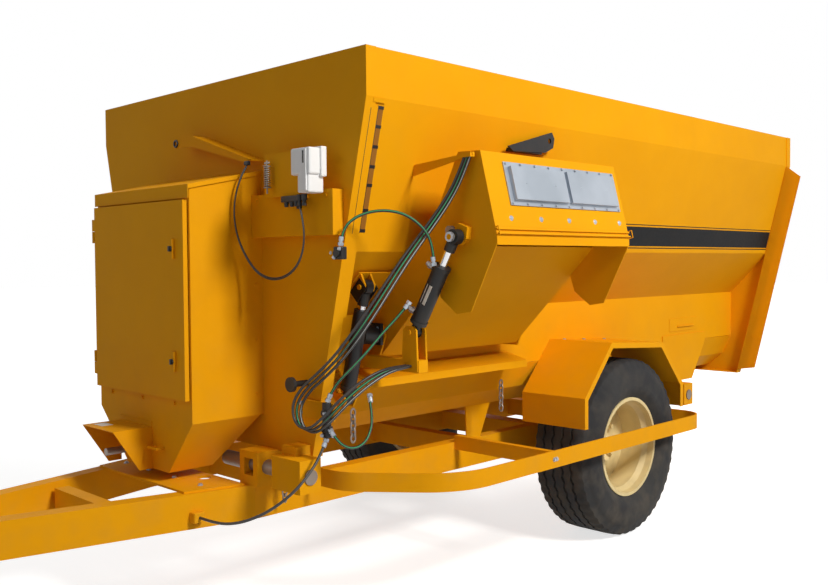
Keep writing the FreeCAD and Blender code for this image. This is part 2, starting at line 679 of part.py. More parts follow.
def make_shroud():
    """The funnel-shaped cover of the bottom chain sprocket, open at its top."""
    face = [("cabinet_right", "cabinet_foot"), ("cabinet_left", "cabinet_foot"),
            ("shroud_half", "shroud_foot"), ("-shroud_half - 10", "shroud_foot")]
    room = [("cabinet_right + 5", "cabinet_foot + 1"), ("cabinet_left - 5", "cabinet_foot + 1"),
            ("shroud_half - 5", "shroud_foot + 4"), ("-shroud_half - 5", "shroud_foot + 4")]
    side = [("cabinet_front", "cabinet_foot"), (-22, "cabinet_foot"), (-160, "shroud_foot"),
            ("cabinet_front", "shroud_foot")]
    side_room = [("cabinet_front + 4", "cabinet_foot + 1"), (-28, "cabinet_foot + 1"), (-164, "shroud_foot + 4"),
                 ("cabinet_front + 4", "shroud_foot + 4")]
    shells = []
    for across, along in ((face, side), (room, side_room)):
        shells.append(common(slab("XZ", [across], "cabinet_front", "-cabinet_front"),
                             slab("YZ", [along], "cabinet_right", "cabinet_left - cabinet_right")))
    flange = rod("Y", ("pto_x", "pto_z"), "cabinet_front - 12", 15, 60)
    hole = rod("Y", ("pto_x", "pto_z"), "cabinet_front - 20", 60, 26)
    keep(cut(fused([cut(*shells), flange]), hole), "gearcase_shroud")


def make_hood():
    """The channel-shaped guard over the drive shaft's stub, with its mounting flange."""
    sidewall = [("cabinet_front", "hood_top"), ("-602", "hood_top"), ("-468", "shroud_foot"),
                ("cabinet_front", "shroud_foot")]
    whole = slab("YZ", [sidewall], "hood_right", "hood_left - hood_right")
    room = block(("hood_right + 4", -650, "shroud_foot - 10"), ("hood_left - 4", "cabinet_front", "hood_top - 4"))
    flange = block(("hood_right", "cabinet_front - 4", "hood_top - 6"), ("hood_left", "cabinet_front", "hood_top + 26"))
    keep(fused([cut(whole, room), flange]), "pto_hood")


def make_input_shaft():
    """The splined stub, its shaft and the pinion of the chain drive."""
    centre = ("pto_x", "pto_z")
    stub = rod("Y", centre, -560, 120, "pto_radius")
    shaft = rod("Y", centre, -440, 270, 25)
    pinion = rod("Y", centre, "chain_y - 13", 26, "pinion_radius - 8")
    keep(fused([stub, shaft, pinion]), "input_shaft")


def make_main_sprocket():
    """The large driven sprocket in the cabinet with its shaft and five windows."""
    centre = ("pto_x", "main_shaft_z")
    wheel = rod("Y", centre, "chain_y - 13", 26, "main_sprocket_radius - 8")
    windows = []
    for index in range(5):
        angle = math.radians(72 * index + 18)
        place = (f"pto_x + {175 * math.cos(angle):.2f}", f"main_shaft_z + {175 * math.sin(angle):.2f}")
        windows.append(rod("Y", place, "chain_y - 23", 46, 62))
    shaft = rod("Y", centre, -290, 288, "auger_shaft")
    hub = rod("Y", centre, "chain_y - 43", 86, 75)
    keep(fused([cut(wheel, *windows), hub, shaft]), "main_sprocket")


def make_drive_chain():
    """The roller chain round the pinion and the large sprocket, as one closed loop."""
    span = number("main_shaft_z - pto_z")
    big = number("main_sprocket_radius")
    small = number("pinion_radius")
    lean = math.asin((big - small) / span)

    def loop(grow):
        a, b = big + grow, small + grow
        top = Vector(0, 0, span)
        side = Vector(math.cos(lean), 0, -math.sin(lean))
        flip = Vector(-math.cos(lean), 0, -math.sin(lean))
        edges = [Part.LineSegment(side * b, top + side * a).toShape(),
                 Part.Arc(top + side * a, top + Vector(0, 0, a), top + flip * a).toShape(),
                 Part.LineSegment(top + flip * a, flip * b).toShape(),
                 Part.Arc(flip * b, Vector(0, 0, -b), side * b).toShape()]
        return Part.Wire(edges)

    ring = Part.Face([loop(9), loop(-7)])
    ring.validate()
    chain = computed(ring.extrude(Vector(0, 20, 0)))
    chain.Placement.Base = Vector(number("pto_x"), number("chain_y") - 10, number("pto_z"))
    keep(chain, "drive_chain")


# ---------------------------------------------------------------- discharge conveyor and gate

def make_sill():
    """The folded sill under the conveyor, along the lower box."""
    path = [("box_half + 2.6", 1150), (700, 1146), (848, 1108), (852, 1070)]
    keep(folded("XZ", path, 270, 1230, "sill_wall"), "discharge_sill")


def strip_on_slope(low, high, near, far, start, length):
    """A flat bar on the slope, from low to high along it and near to far out from it."""
    outline = [on_slope(low, near), on_slope(high, near), on_slope(high, far), on_slope(low, far)]
    return slab("XZ", [outline], start, length)


def make_gate():
    """The slide gate: a plate on the slope with a lifting arm at its front edge."""
    plate = strip_on_slope(5, 350, "gate_gap", "gate_gap + gate_wall", "door_front - 24",
                           "door_rear - door_front + 48")
    spacer = strip_on_slope(212, 312, "gate_gap + gate_wall", 18, "door_front - 6", 46)
    arm = strip_on_slope(212, 312, 16, 21, 160, "door_front + 40 - 160")
    lugs = []
    for start in ("gate_cylinder_y - 34", "gate_cylinder_y + 24"):
        lug = slab("XZ", [[on_slope(216, 18), on_slope(308, 18), on_slope(290, 78), on_slope(262, 90),
                           on_slope(234, 78)]], start, 10)
        lugs.append(lug)
    pin = rod("Y", GATE_HIGH, "gate_cylinder_y - 44", 88, 12)
    keep(fused([plate, spacer, arm, pin] + lugs), "gate")


def make_gate_guides():
    """Two Z-section guides that hold the gate's edges against the slope."""
    guides = []
    for web, lip in (("door_front - 46", "door_front - 46"), ("door_rear + 28", "door_rear + 12")):
        guides.append(fused([strip_on_slope(2, 425, 0, 10, web, 18), strip_on_slope(2, 425, 10, 13, lip, 34)]))
    keep(together(guides), "gate_guides")


def make_cylinder(low, high, across, bore, labels, inside, reach):
    """A hydraulic cylinder between two pins: a barrel with a base eye, and a rod with a rod eye.

    The barrel ends at the given part of the pins' distance; the rod begins at another.
    """
    start = Vector(number(low[0]), number(across), number(low[1]))
    end = Vector(number(high[0]), number(across), number(high[1]))
    length = (end - start).Length
    turn = FreeCAD.Placement(start, FreeCAD.Rotation(Vector(0, 0, 1), end - start))

    def round_bar(radius, begin, finish):
        return Part.makeCylinder(radius, finish - begin, Vector(0, 0, begin))

    def eye(centre, radius, width):
        return Part.makeCylinder(radius, width, Vector(0, -width / 2, centre), Vector(0, 1, 0))

    barrel = eye(0, 28, 40).fuse([round_bar(22, 10, 60), round_bar(bore, 48, length * reach)])
    barrel = barrel.cut([eye(0, 12.6, 60), round_bar(bore / 2 + 1, 68, length)])
    piston_rod = round_bar(bore / 2, length * inside, length - 20).fuse(eye(length, 32, 40)).cut(eye(length, 24, 60))
    for shape, name in ((barrel, labels[0]), (piston_rod, labels[1])):
        item = computed(shape.removeSplitter())
        item.Placement = turn
        keep(item, name)


def make_brackets():
    """Welded brackets for both cylinders' base pins and for the conveyor's tail shaft."""
    beam = block(("box_half", "lift_y - 30", 1165), (1162, "lift_y + 30", 1222))
    ears = []
    for start in ("lift_y - 34", "lift_y + 24"):
        ears.append(slab("XZ", [[(1058, 1170), (1158, 1170), (1150, 1358), (1130, 1376), (1086, 1376),
                                 (1066, 1358)]], start, 10))
    pin = rod("Y", LIFT_LOW, "lift_y - 42", 84, 12.5)
    plates = []
    for start in ("gate_cylinder_y - 36", "gate_cylinder_y + 26"):
        plates.append(slab("XZ", [[("box_half", 1075), ("box_half", 1150), (745, 1050), (775, 1054), (812, 1020),
                                   (790, 985), (750, 985)]], start, 10))
    web = block(("box_half", "gate_cylinder_y - 36", 1080), ("box_half + 8", "gate_cylinder_y + 36", 1140))
    low_pin = rod("Y", GATE_LOW, "gate_cylinder_y - 44", 88, 12.5)
    pivots = []
    across, up = TAIL
    outline = [("box_half", 1195), ("box_half", 1385), (f"{across} - 20", f"{up} + 48"),
               (f"{across} + 40", f"{up} + 40"), (f"{across} + 60", f"{up} - 10"), (f"{across} + 10", 1195)]
    for start in ("conveyor_front - 18", "conveyor_rear + 7"):
        pivots.append(slab("XZ", [outline, (across, up, "shaft_radius + 1")], start, 11))
    keep(together([fused([beam, pin] + ears), fused(plates + [web, low_pin])] + pivots), "cylinder_brackets")


def conveyor_outline():
    """The side plates' outline: trough, spout cheeks and the deep discharge end."""
    return [on_slope(-75, 95), on_slope(-20, 32), on_slope(690, 28), (1330, 2151), HOOD_TOP, HOOD_FOOT,
            (1551, 1745), (1402, 1447), (1316, 1434), (1222, 1504), on_slope(480, "pan_out"),
            on_slope(-50, "pan_out"), on_slope(-75, 205)]


def make_conveyor():
    """The conveyor trough: two side plates, the closed pan below them and the slide plate."""
    loops = [conveyor_outline(), TAIL + ("shaft_radius + 1",), HEAD + ("shaft_radius + 1",)]
    near = slab("XZ", loops, "conveyor_front", "trough_wall")
    far = slab("XZ", loops, "conveyor_rear - trough_wall", "trough_wall")
    width = "conveyor_rear - conveyor_front"
    pan_line = [on_slope(-75, 150), on_slope(-75, 205), on_slope(-50, "pan_out"), on_slope(690, "pan_out")]
    pan = folded("XZ", pan_line, "conveyor_front", width, "-trough_wall")
    slide = strip_on_slope(82, 648, 146, 151, "conveyor_front", width)
    lugs = slab("XZ", [[(1309, 1779), (1354, 1836), (1409, 1816), (1401, 1766), (1360, 1739)]],
                "lift_y + 25", "conveyor_front - lift_y - 25")
    pin = rod("Y", LIFT_HIGH, "lift_y - 42", "conveyor_front - lift_y + 44", 12.5)
    keep(fused([near, far, pan, slide, lugs, pin]), "conveyor_trough")


def make_hood_panels():
    """The spout's hood between the cheeks: top, front panel and turned lip."""
    width = "conveyor_rear - conveyor_front - 2 * trough_wall"
    path = [on_slope(696, 28), (1330, 2151), HOOD_TOP, HOOD_FOOT, (1551, 1738)]
    keep(folded("XZ", path, "conveyor_front + trough_wall", width, "trough_wall"), "conveyor_hood")


def make_magnet_plates():
    """Two flat magnet covers on a flanged frame, on the hood's front panel."""
    def panel(top, foot, near, far, start, length):
        return slab("XZ", [[on_hood(top, near), on_hood(foot, near), on_hood(foot, far), on_hood(top, far)]],
                    start, length)

    frame = panel(43, 243, 0.3, 6, 520, 880)
    covers = [panel(66, 220, 6, 24, start, 400) for start in (548, 972)]
    keep(fused([frame] + covers), "magnet_plates")


def make_slats():
    """The slat chain as one closed loop round the head and tail shafts."""
    tail = Vector(number(TAIL[0]), 0, number(TAIL[1]))
    head = Vector(number(HEAD[0]), 0, number(HEAD[1]))
    run = head - tail
    along = Vector(run).normalize()
    up = Vector(-along.z, 0, along.x)
    reach = number("slat_reach")
    band_wall = number("slat_band")

    def loop(radius):
        edges = [Part.LineSegment(tail + up * radius, head + up * radius).toShape(),
                 Part.Arc(head + up * radius, head + along * radius, head - up * radius).toShape(),
                 Part.LineSegment(head - up * radius, tail - up * radius).toShape(),
                 Part.Arc(tail - up * radius, tail - along * radius, tail + up * radius).toShape()]
        return Part.Wire(edges)

    band = Part.Face([loop(reach + band_wall), loop(reach)])
    band.validate()
    near, far = number("conveyor_front + 44"), number("conveyor_rear - 44")
    pieces = []
    for start in (near, far - 40):
        strand = band.extrude(Vector(0, 40, 0))
        strand.translate(Vector(0, start, 0))
        pieces.append(strand)
    count = 6
    turn = FreeCAD.Rotation(along, Vector(0, 1, 0), up, "ZYX")
    for index in range(count):
        for side in (1, -1):
            spot = tail + run * ((index + 0.5) / count) + up * (side * (reach + band_wall / 2))
            bar = Part.makeBox(12, far - near, 26, Vector(-6, 0, -4 if side > 0 else -22))
            bar.Placement = FreeCAD.Placement(spot + Vector(0, near, 0), turn)
            pieces.append(bar)
    keep(computed(pieces[0].fuse(pieces[1:]).removeSplitter()), "conveyor_slats")


def make_conveyor_shafts():
    """Head and tail shafts with their chain rollers."""
    shafts = []
    for spot in (TAIL, HEAD):
        shaft = rod("Y", spot, "conveyor_front - 24", "conveyor_rear - conveyor_front + 48", "shaft_radius")
        rollers = [rod("Y", spot, start, 30, "slat_reach - 1") for start in ("conveyor_front + 49", "conveyor_rear - 79")]
        shafts.append(fused([shaft] + rollers))
    keep(together(shafts), "conveyor_shafts")


def make_motor():
    """The hydraulic motor that turns the conveyor, on the tail shaft's front end."""
    across, up = TAIL
    corners = [(f"{across} {a} 52", f"{up} {b} 52") for a, b in (("-", "-"), ("+", "-"), ("+", "+"), ("-", "+"))]
    body = rod("Y", TAIL, "conveyor_front - 128", 104, 46)
    flange = slab("XZ", [corners], "conveyor_front - 40", 16)
    keep(fused([body, flange]), "conveyor_motor")


def make_stay_lug():
    """The black lug plate on the tub side above the conveyor, for the raised spout's stay."""
    plate = slab("YZ", [[(954, 2242), (994, 2219), (1262, 2232), (1328, 2262), (1340, 2312), (1318, 2342)],
                        (1297, 2295, 14)], 1150, 10)
    low, high = 2222, 2240
    foot = slab("XZ", [[(side_x(low) + " + 0.3", low), (1152, low), (1152, high), (side_x(high) + " + 0.3", high)]],
                990, 250)
    keep(fused([plate, foot]), "stay_lug")


# ---------------------------------------------------------------- front fittings

def make_indicator():
    """The scale display's box, with its lower corner cut back."""
    outline = [(826.3, 1967), (978, 1967), (1005, 2021), (1047, 2060), (1047, 2170), (826.3, 2172)]
    keep(slab("XZ", [outline], -165, 99), "indicator_box")


def make_front_brackets():
    """The display's bracket, the bent cable arm over the cabinet and the hose arm beside the spout."""
    plate = block((571, -104, 1967), (826, -98, 2165))
    stem = block((650, -98, 2020), (760, 0, 2100))
    path = [(447, 2156), (-50, 2315), (-223, 2315)]
    top = folded("XZ", path, -90, 90, -5)
    flange = slab("XZ", [[(447, 2156), (-50, 2315), (-223, 2315), (-223, 2268), (-60, 2262), (400, 2146)],
                         (-205, 2290, 13)], -95, 5)
    carrier = slab("XZ", [[(side_x(2060) + " + 0.3", 2060), (1440, 2128), (1440, 2140),
                           (side_x(2110) + " + 0.3", 2110)]], 356, 8)
    holder = block((1376, 346, 2120), (1436, 374, 2140))
    keep(together([fused([plate, stem]), fused([top, flange]), fused([carrier, holder])]), "front_brackets")


def make_hook():
    """The round hose hook on the front wall's left corner."""
    stem = rod("Y", (735, 1115), -90, 90, 14)
    knob = rod("Y", (735, 1115), -100, 16, 34)
    keep(fused([stem, knob]), "hose_hook")


# ---------------------------------------------------------------- hoses and cables

def corner_radii(route):
    """For each inner point, an arc that takes at most 0.45 of the shorter run beside it."""
    spots = [Vector(*point) for point in route]
    radii = []
    for before, corner, after in zip(spots, spots[1:], spots[2:]):
        back, ahead = before - corner, after - corner
        half_turn = (math.pi - back.getAngle(ahead)) / 2
        radii.append(0.45 * min(back.Length, ahead.Length) / math.tan(half_turn))
    return radii


def make_cord(label, route, radius):
    """A hose or cable: a round section swept along straight runs and tangent arcs."""
    radii = corner_radii(route)
    line = rounded_wire(route, radii)
    start = line.Edges[0]
    aim = start.tangentAt(start.FirstParameter)
    section = Part.Wire(Part.makeCircle(radius, Vector(*route[0]), aim))
    tube = line.makePipeShell([section], True, True)
    share = tube.Volume / (math.pi * radius ** 2 * line.Length)
    print(f"{label}: {line.Length:.0f} mm long, tightest arc {min(radii):.0f} mm, volume share {share:.3f}")
    keep(computed(tube), label)


def beside(route, count):
    """The same route moved sideways for the next hose: level at both ends, slanted between them."""
    last = len(route) - 1
    moved = []
    for index, (x, y, z) in enumerate(route):
        part = min(1, index / 8, (last - index) / 3)
        moved.append((x + (16 - 6 * part) * count, y + 14 * part * count, z - 9 * part * count))
    return moved


BUNDLE = [(1389, 360, 2120), (1352, 350, 2030), (1306, 322, 1936), (1262, 276, 1846), (1228, 212, 1756),
          (1200, 142, 1662), (1176, 72, 1562), (1144, 10, 1462), (1090, -38, 1360), (1012, -68, 1262),
          (922, -94, 1178), (830, -108, 1112), (768, -114, 1032), (786, -114, 946), (868, -106, 924),
          (950, -88, 984), (1020, -46, 1070), (1064, 26, 1140), (1084, 116, 1180), (1086, 206, 1194),
          (1084, 296, 1194)]
UPPER_HOSE = [(1030, -44, 1740), (1040, -40, 1812), (1082, 4, 1868), (1150, 76, 1894), (1222, 150, 1880),
              (1270, 216, 1824), (1287, 262, 1752), (1284, 274, 1672)]
LOWER_HOSE = [(1130, 258, 1470), (1104, 226, 1420), (1076, 160, 1352), (1050, 88, 1270), (1006, 22, 1190),
              (950, -18, 1122), (922, -36, 1050)]
LOOP_HOSE = [(938, -36, 928), (992, -36, 876), (1040, 4, 846), (1058, 66, 868), (1042, 120, 928),
             (1002, 158, 990), (962, 180, 1052)]
SUPPLY_HOSE = [(914, -36, 884), (918, -76, 812), (930, -156, 740), (922, -236, 674), (868, -316, 606),
               (780, -376, 556), (672, -404, 528), (560, -410, 520), (470, -410, 520)]
SCALE_CABLE = [(838, -112, 1920), (860, -112, 1852), (866, -110, 1770), (840, -108, 1690), (776, -106, 1630),
               (690, -106, 1598), (600, -110, 1596), (520, -120, 1628), (470, -140, 1696), (444, -164, 1776),
               (430, -176, 1860), (428, -176, 1944), (434, -160, 2026), (440, -134, 2092), (436, -108, 2126)]


def make_cords():
    """The three hoses of the bundle, the cylinders' hoses, the supply hose and the scale's cable."""
    for count, label in enumerate(("hose_bundle_black", "hose_bundle_green", "hose_bundle_white")):
        make_cord(label, beside(BUNDLE, count), 6.5)
    for label, route in (("hose_upper", UPPER_HOSE), ("hose_lower", LOWER_HOSE), ("hose_loop", LOOP_HOSE),
                         ("hose_supply", SUPPLY_HOSE)):
        make_cord(label, route, 6.5)
    make_cord("scale_cable", SCALE_CABLE, 4)


def ferrule(route, at_end, radius, length):
    """A hose's crimped end: a short bar in line with the hose, face to face with it."""
    spots = [Vector(*point) for point in (route if at_end else route[::-1])]
    aim = (spots[-1] - spots[-2]).normalize()
    return computed(Part.makeCylinder(radius, length, spots[-1], aim))


def make_hose_fittings():
    """Crimped ends, tee block, port block, drawbar clamp, and the cable's plugs and gland."""
    ends = [ferrule(UPPER_HOSE, True, 11, 34), ferrule(LOWER_HOSE, False, 11, 34), ferrule(LOOP_HOSE, True, 11, 40)]
    tee = block((896, -52, 884), (938, -20, 1050))
    plate = block((700, -20, 960), (946, -12, 1040))
    spacer = block((700, -12, 960), (760, 0, 1040))
    clamp = slab("XY", [[(beam_x(-440), -440), (470, -440), (470, -380), (beam_x(-380), -380)]], 495, 50)
    port = block((996, -62, 1676), (1060, -26, 1740))
    stay = block((930, -26, 1690), (1050, -20, 1730))
    foot = block((930, -20, 1690), (960, 0, 1730))
    plugs = [rod("Z", (838, -112), 1920, 46.7, 11), rod("Z", (870, -112), 1925, 41.7, 11)]
    gland = block((420, -116, 2126), (452, -95.3, 2150))
    blocks = [fused([tee, plate, spacer]), fused([port, stay, foot]), clamp, gland]
    keep(together(blocks + plugs + ends), "hose_fittings")


def build():
    """Make every sub-part."""
    for step in (make_sides, make_floor, make_end_walls, make_augers, make_chain_covers, make_rear_bearings,
                 make_frame, make_drawbar, make_hitch, make_axle, make_wheels, make_guard, make_fenders, make_jack,
                 make_supports, make_cabinet, make_roof, make_door, make_shroud, make_hood, make_input_shaft,
                 make_main_sprocket, make_drive_chain, make_sill, make_gate, make_gate_guides, make_brackets,
                 make_conveyor, make_hood_panels, make_magnet_plates, make_slats, make_conveyor_shafts,
                 make_motor, make_stay_lug, make_indicator, make_front_brackets, make_hook, make_cords,
                 make_hose_fittings):
        step()
    make_cylinder(LIFT_LOW, LIFT_HIGH, "lift_y", 38, ("lift_barrel", "lift_rod"), 0.3, 0.7)
    make_cylinder(GATE_LOW, GATE_HIGH, "gate_cylinder_y", 36, ("gate_barrel", "gate_rod"), 0.14, 0.8)


def carry_to_hitch():
    """Move every sub-part so that the hitch pin's middle is the origin."""
    move = FreeCAD.Placement(Vector(0, -number("hitch_y"), -number("hitch_z")), FreeCAD.Rotation())
    for item in NODES.values():
        item.Placement = move.multiply(item.Placement)


def check_and_write():
    """Stop on any failed object or shape, then write one file for each sub-part."""
    failed = [item.Label for item in doc.Objects if "Invalid" in item.State or "Error" in item.State]
    if failed:
        raise RuntimeError("failed objects: " + ", ".join(failed))
    for label, item in NODES.items():
        if item.Shape.isNull() or not item.Shape.isValid():
            raise RuntimeError("bad shape: " + label)
    os.makedirs("parts", exist_ok=True)
    for label, item in NODES.items():
        item.Shape.exportStep(os.path.join("parts", label + ".step"))


build()
doc.recompute()
carry_to_hitch()
doc.recompute()
check_and_write()
print(len(NODES), "sub-parts written")
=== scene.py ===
"""Looks of the feed mixer wagon: finishes, hoses, tyre tread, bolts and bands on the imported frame."""

import json
import logging
import math
from dataclasses import dataclass, field
from enum import Enum
from typing import Iterable, Sequence

import bmesh
import bpy
from mathutils import Matrix, Vector

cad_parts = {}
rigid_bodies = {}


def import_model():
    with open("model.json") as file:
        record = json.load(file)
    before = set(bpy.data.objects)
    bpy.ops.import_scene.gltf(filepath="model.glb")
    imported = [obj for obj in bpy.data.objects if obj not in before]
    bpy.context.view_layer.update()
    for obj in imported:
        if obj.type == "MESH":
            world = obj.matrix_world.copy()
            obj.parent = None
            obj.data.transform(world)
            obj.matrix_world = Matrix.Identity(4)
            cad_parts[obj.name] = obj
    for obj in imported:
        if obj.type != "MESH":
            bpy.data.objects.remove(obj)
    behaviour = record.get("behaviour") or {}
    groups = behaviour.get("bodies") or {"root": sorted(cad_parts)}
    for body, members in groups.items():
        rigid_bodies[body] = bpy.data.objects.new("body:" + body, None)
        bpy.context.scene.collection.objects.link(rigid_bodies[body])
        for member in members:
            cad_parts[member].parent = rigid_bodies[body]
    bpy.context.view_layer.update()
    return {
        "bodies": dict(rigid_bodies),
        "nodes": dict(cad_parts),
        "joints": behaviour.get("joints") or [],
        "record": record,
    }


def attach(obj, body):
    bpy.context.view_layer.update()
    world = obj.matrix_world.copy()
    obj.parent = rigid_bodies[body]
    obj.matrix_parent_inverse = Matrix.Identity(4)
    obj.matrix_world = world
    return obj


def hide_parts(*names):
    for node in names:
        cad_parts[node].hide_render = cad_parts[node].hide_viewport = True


log = logging.getLogger("feed_mixer_wagon")

Bmesh = bmesh.types.BMesh
Socket = bpy.types.NodeSocket
Point = tuple[float, float, float]
FRONT_WALL_Y = 2.050
GROUND_Z = -0.545
CHASSIS = "chassis"
CONVEYOR = "conveyor_body"
UP = Vector((0, 0, 1))
LEFTWARD = Vector((1, 0, 0))
FORWARD = Vector((0, -1, 0))


def at(x: float, y: float, z: float) -> Vector:
    """A place in metres, from millimetres off the centre plane, the front wall and the ground."""
    return Vector((x / 1000, y / 1000 + FRONT_WALL_Y, z / 1000 + GROUND_Z))


def show(made: bpy.types.Object) -> bpy.types.Object:
    """Put a new object into the scene."""
    bpy.context.scene.collection.objects.link(made)
    return made


def facing(direction: Vector) -> Matrix:
    """The rotation that carries +Z to a direction."""
    return UP.rotation_difference(direction).to_matrix().to_4x4()


class Slot(Enum):
    """The record's material slots."""

    YELLOW = "yellow_paint"
    BLACK = "black_paint"
    STEEL = "bare_steel"
    GREY = "grey_plastic"
    TYRE = "tyre"
    CREAM = "cream_paint"
    ZINC = "galvanised"
    CHROME = "chrome_rod"
    RUBBER = "hose_rubber"


class Axis(Enum):
    """A direction that a round piece points in, as its turn from +Z: an angle about an axis."""

    X = (math.pi / 2, "Y")
    Y = (-math.pi / 2, "X")
    Z = (0.0, "Z")

    def turn(self) -> Matrix:
        """The rotation that carries +Z to this axis."""
        angle, about = self.value
        return Matrix.Rotation(angle, 4, about)


# ---- finishes

def feed(node: bpy.types.Node, inputs: dict) -> bpy.types.Node:
    """Give each of a node's inputs a value, or a link from a socket.

    Args:
        node: the node that takes them.
        inputs: a value or an output socket for each input's name or number.

    Returns:
        The same node.
    """
    for label, value in inputs.items():
        if isinstance(value, Socket):
            node.id_data.links.new(value, node.inputs[label])
        else:
            node.inputs[label].default_value = value
    return node


def add_node(tree: bpy.types.NodeTree, kind: str, inputs: dict | None = None, **settings: object) -> bpy.types.Node:
    """A new shader node.

    Args:
        tree: the node tree that takes it.
        kind: its type, after "ShaderNode".
        inputs: what feed() takes.
        settings: the node's own properties.

    Returns:
        The node.
    """
    node = tree.nodes.new("ShaderNode" + kind)
    for label, value in settings.items():
        setattr(node, label, value)
    return feed(node, inputs or {})


def texture_group() -> bpy.types.NodeTree:
    """The shared surface effect: mottled colour, dust towards the ground, grain and fine relief.

    Returns:
        The node group, built once.
    """
    name = "surface_texture"
    if name in bpy.data.node_groups:
        return bpy.data.node_groups[name]
    group = bpy.data.node_groups.new(name, "ShaderNodeTree")
    for way, kind, labels in (("INPUT", "Color", ("Colour", "Second colour", "Dust colour")),
                              ("INPUT", "Float", ("Scale", "Mottle", "Dust", "Roughness")),
                              ("OUTPUT", "Color", ("Colour",)), ("OUTPUT", "Float", ("Roughness", "Height"))):
        for label in labels:
            group.interface.new_socket(name=label, in_out=way, socket_type="NodeSocket" + kind)
    inside = group.nodes.new("NodeGroupInput").outputs
    place = add_node(group, "TexCoord").outputs["Object"]

    def noise(scale: Socket | float, detail: float) -> Socket:
        """A noise on Object coordinates."""
        return add_node(group, "TexNoise", {"Vector": place, "Scale": scale, "Detail": detail}).outputs["Fac"]

    def combined(operation: str, first: Socket | float, second: Socket | float) -> Socket:
        """A clamped Math node of two sockets or numbers."""
        return add_node(group, "Math", {0: first, 1: second}, operation=operation, use_clamp=True).outputs[0]

    def stretched(value: Socket, low: float, high: float) -> Socket:
        """A value spread so that low becomes nought and high becomes one."""
        return add_node(group, "MapRange", {"Value": value, "From Min": low, "From Max": high}).outputs[0]

    def mix(factor: Socket, first: Socket, second: Socket) -> Socket:
        """A colour mix."""
        return add_node(group, "Mix", {"Factor": factor, 6: first, 7: second}, data_type="RGBA").outputs[2]

    grain = noise(inside["Scale"], 3)
    lowness = stretched(add_node(group, "SeparateXYZ", {0: place}).outputs["Z"], 0.9, -0.55)
    reach = combined("ADD", combined("MULTIPLY", lowness, 0.85), 0.15)
    dust = combined("MULTIPLY", combined("MULTIPLY", reach, stretched(noise(9.0, 6), 0.42, 0.75)), inside["Dust"])
    mottle = combined("MULTIPLY", stretched(noise(2.3, 4), 0.38, 0.66), inside["Mottle"])
    painted = mix(mottle, inside["Colour"], inside["Second colour"])
    rough = combined("ADD", inside["Roughness"], combined("MULTIPLY", grain, 0.16))
    feed(group.nodes.new("NodeGroupOutput"), {
        "Colour": mix(dust, painted, inside["Dust colour"]),
        "Roughness": combined("ADD", rough, combined("MULTIPLY", dust, 0.4)), "Height": grain})
    return group


@dataclass(frozen=True)
class Finish:
    """One surface finish, made as a material on the shared texture group."""

    name: str
    colour: Point
    second: Point
    roughness: float = 0.35
    metallic: float = 0.0
    coat: float = 0.0
    coat_roughness: float = 0.12
    specular: float = 0.5
    relief: float = 0.05
    relief_depth: float = 0.0004
    scale: float = 40.0
    mottle: float = 0.3
    dust: float = 0.15
    dust_colour: Point = (0.30, 0.23, 0.15)

    def material(self) -> bpy.types.Material:
        """The Blender material, built once.

        Returns:
            The material of this finish.
        """
        if self.name in bpy.data.materials:
            return bpy.data.materials[self.name]
        made = bpy.data.materials.new(self.name)
        made.use_nodes = True
        tree = made.node_tree
        texture = add_node(tree, "Group", {
            "Colour": self.colour + (1,), "Second colour": self.second + (1,), "Dust colour": self.dust_colour + (1,),
            "Scale": self.scale, "Mottle": self.mottle, "Dust": self.dust, "Roughness": self.roughness
        }, node_tree=texture_group()).outputs
        bump = add_node(tree, "Bump", {
            "Strength": self.relief, "Distance": self.relief_depth, "Height": texture["Height"]})
        feed(tree.nodes["Principled BSDF"], {
            "Base Color": texture["Colour"], "Roughness": texture["Roughness"], "Normal": bump.outputs["Normal"],
            "Metallic": self.metallic, "Coat Weight": self.coat, "Coat Roughness": self.coat_roughness,
            "Specular IOR Level": self.specular})
        return made


FINISHES: dict[Slot, Finish] = {
    Slot.YELLOW: Finish(
        "yellow_enamel", (0.84, 0.365, 0.003), (0.77, 0.32, 0.003), 0.46, specular=0.06, relief=0.12, scale=90,
        mottle=0.45, dust=0.22, dust_colour=(0.46, 0.26, 0.07)),
    Slot.BLACK: Finish(
        "black_enamel", (0.010, 0.010, 0.011), (0.024, 0.024, 0.025), 0.40, coat=0.05, specular=0.3, relief=0.1,
        scale=120, dust=0.25),
    Slot.STEEL: Finish(
        "bare_worked_steel", (0.30, 0.27, 0.24), (0.17, 0.12, 0.09), 0.42, metallic=0.85, relief=0.3, scale=160,
        mottle=0.7, dust=0.3, dust_colour=(0.26, 0.13, 0.06)),
    Slot.GREY: Finish(
        "pale_grey_plastic", (0.86, 0.86, 0.86), (0.80, 0.80, 0.80), 0.45, specular=0.3, relief=0.2, scale=400,
        mottle=0.4, dust=0.12),
    Slot.TYRE: Finish(
        "tyre_rubber", (0.024, 0.024, 0.026), (0.055, 0.053, 0.050), 0.74, specular=0.25, relief=0.5, scale=220,
        mottle=0.6, dust=0.6, dust_colour=(0.14, 0.12, 0.095)),
    Slot.CREAM: Finish(
        "cream_enamel", (0.80, 0.64, 0.32), (0.72, 0.55, 0.25), 0.38, coat=0.05, specular=0.3, relief=0.15, scale=100,
        dust=0.35),
    Slot.ZINC: Finish(
        "galvanised_sheet", (0.46, 0.50, 0.56), (0.34, 0.38, 0.43), 0.36, metallic=0.75, relief=0.25, scale=26,
        mottle=0.9, dust=0.12),
    Slot.CHROME: Finish(
        "polished_rod", (0.70, 0.70, 0.72), (0.62, 0.62, 0.64), 0.12, metallic=1.0, relief=0.03, scale=300, dust=0.05),
    Slot.RUBBER: Finish(
        "hose_rubber_black", (0.016, 0.016, 0.017), (0.034, 0.034, 0.035), 0.36, specular=0.5, relief=0.5, scale=600,
        dust=0.2),
}
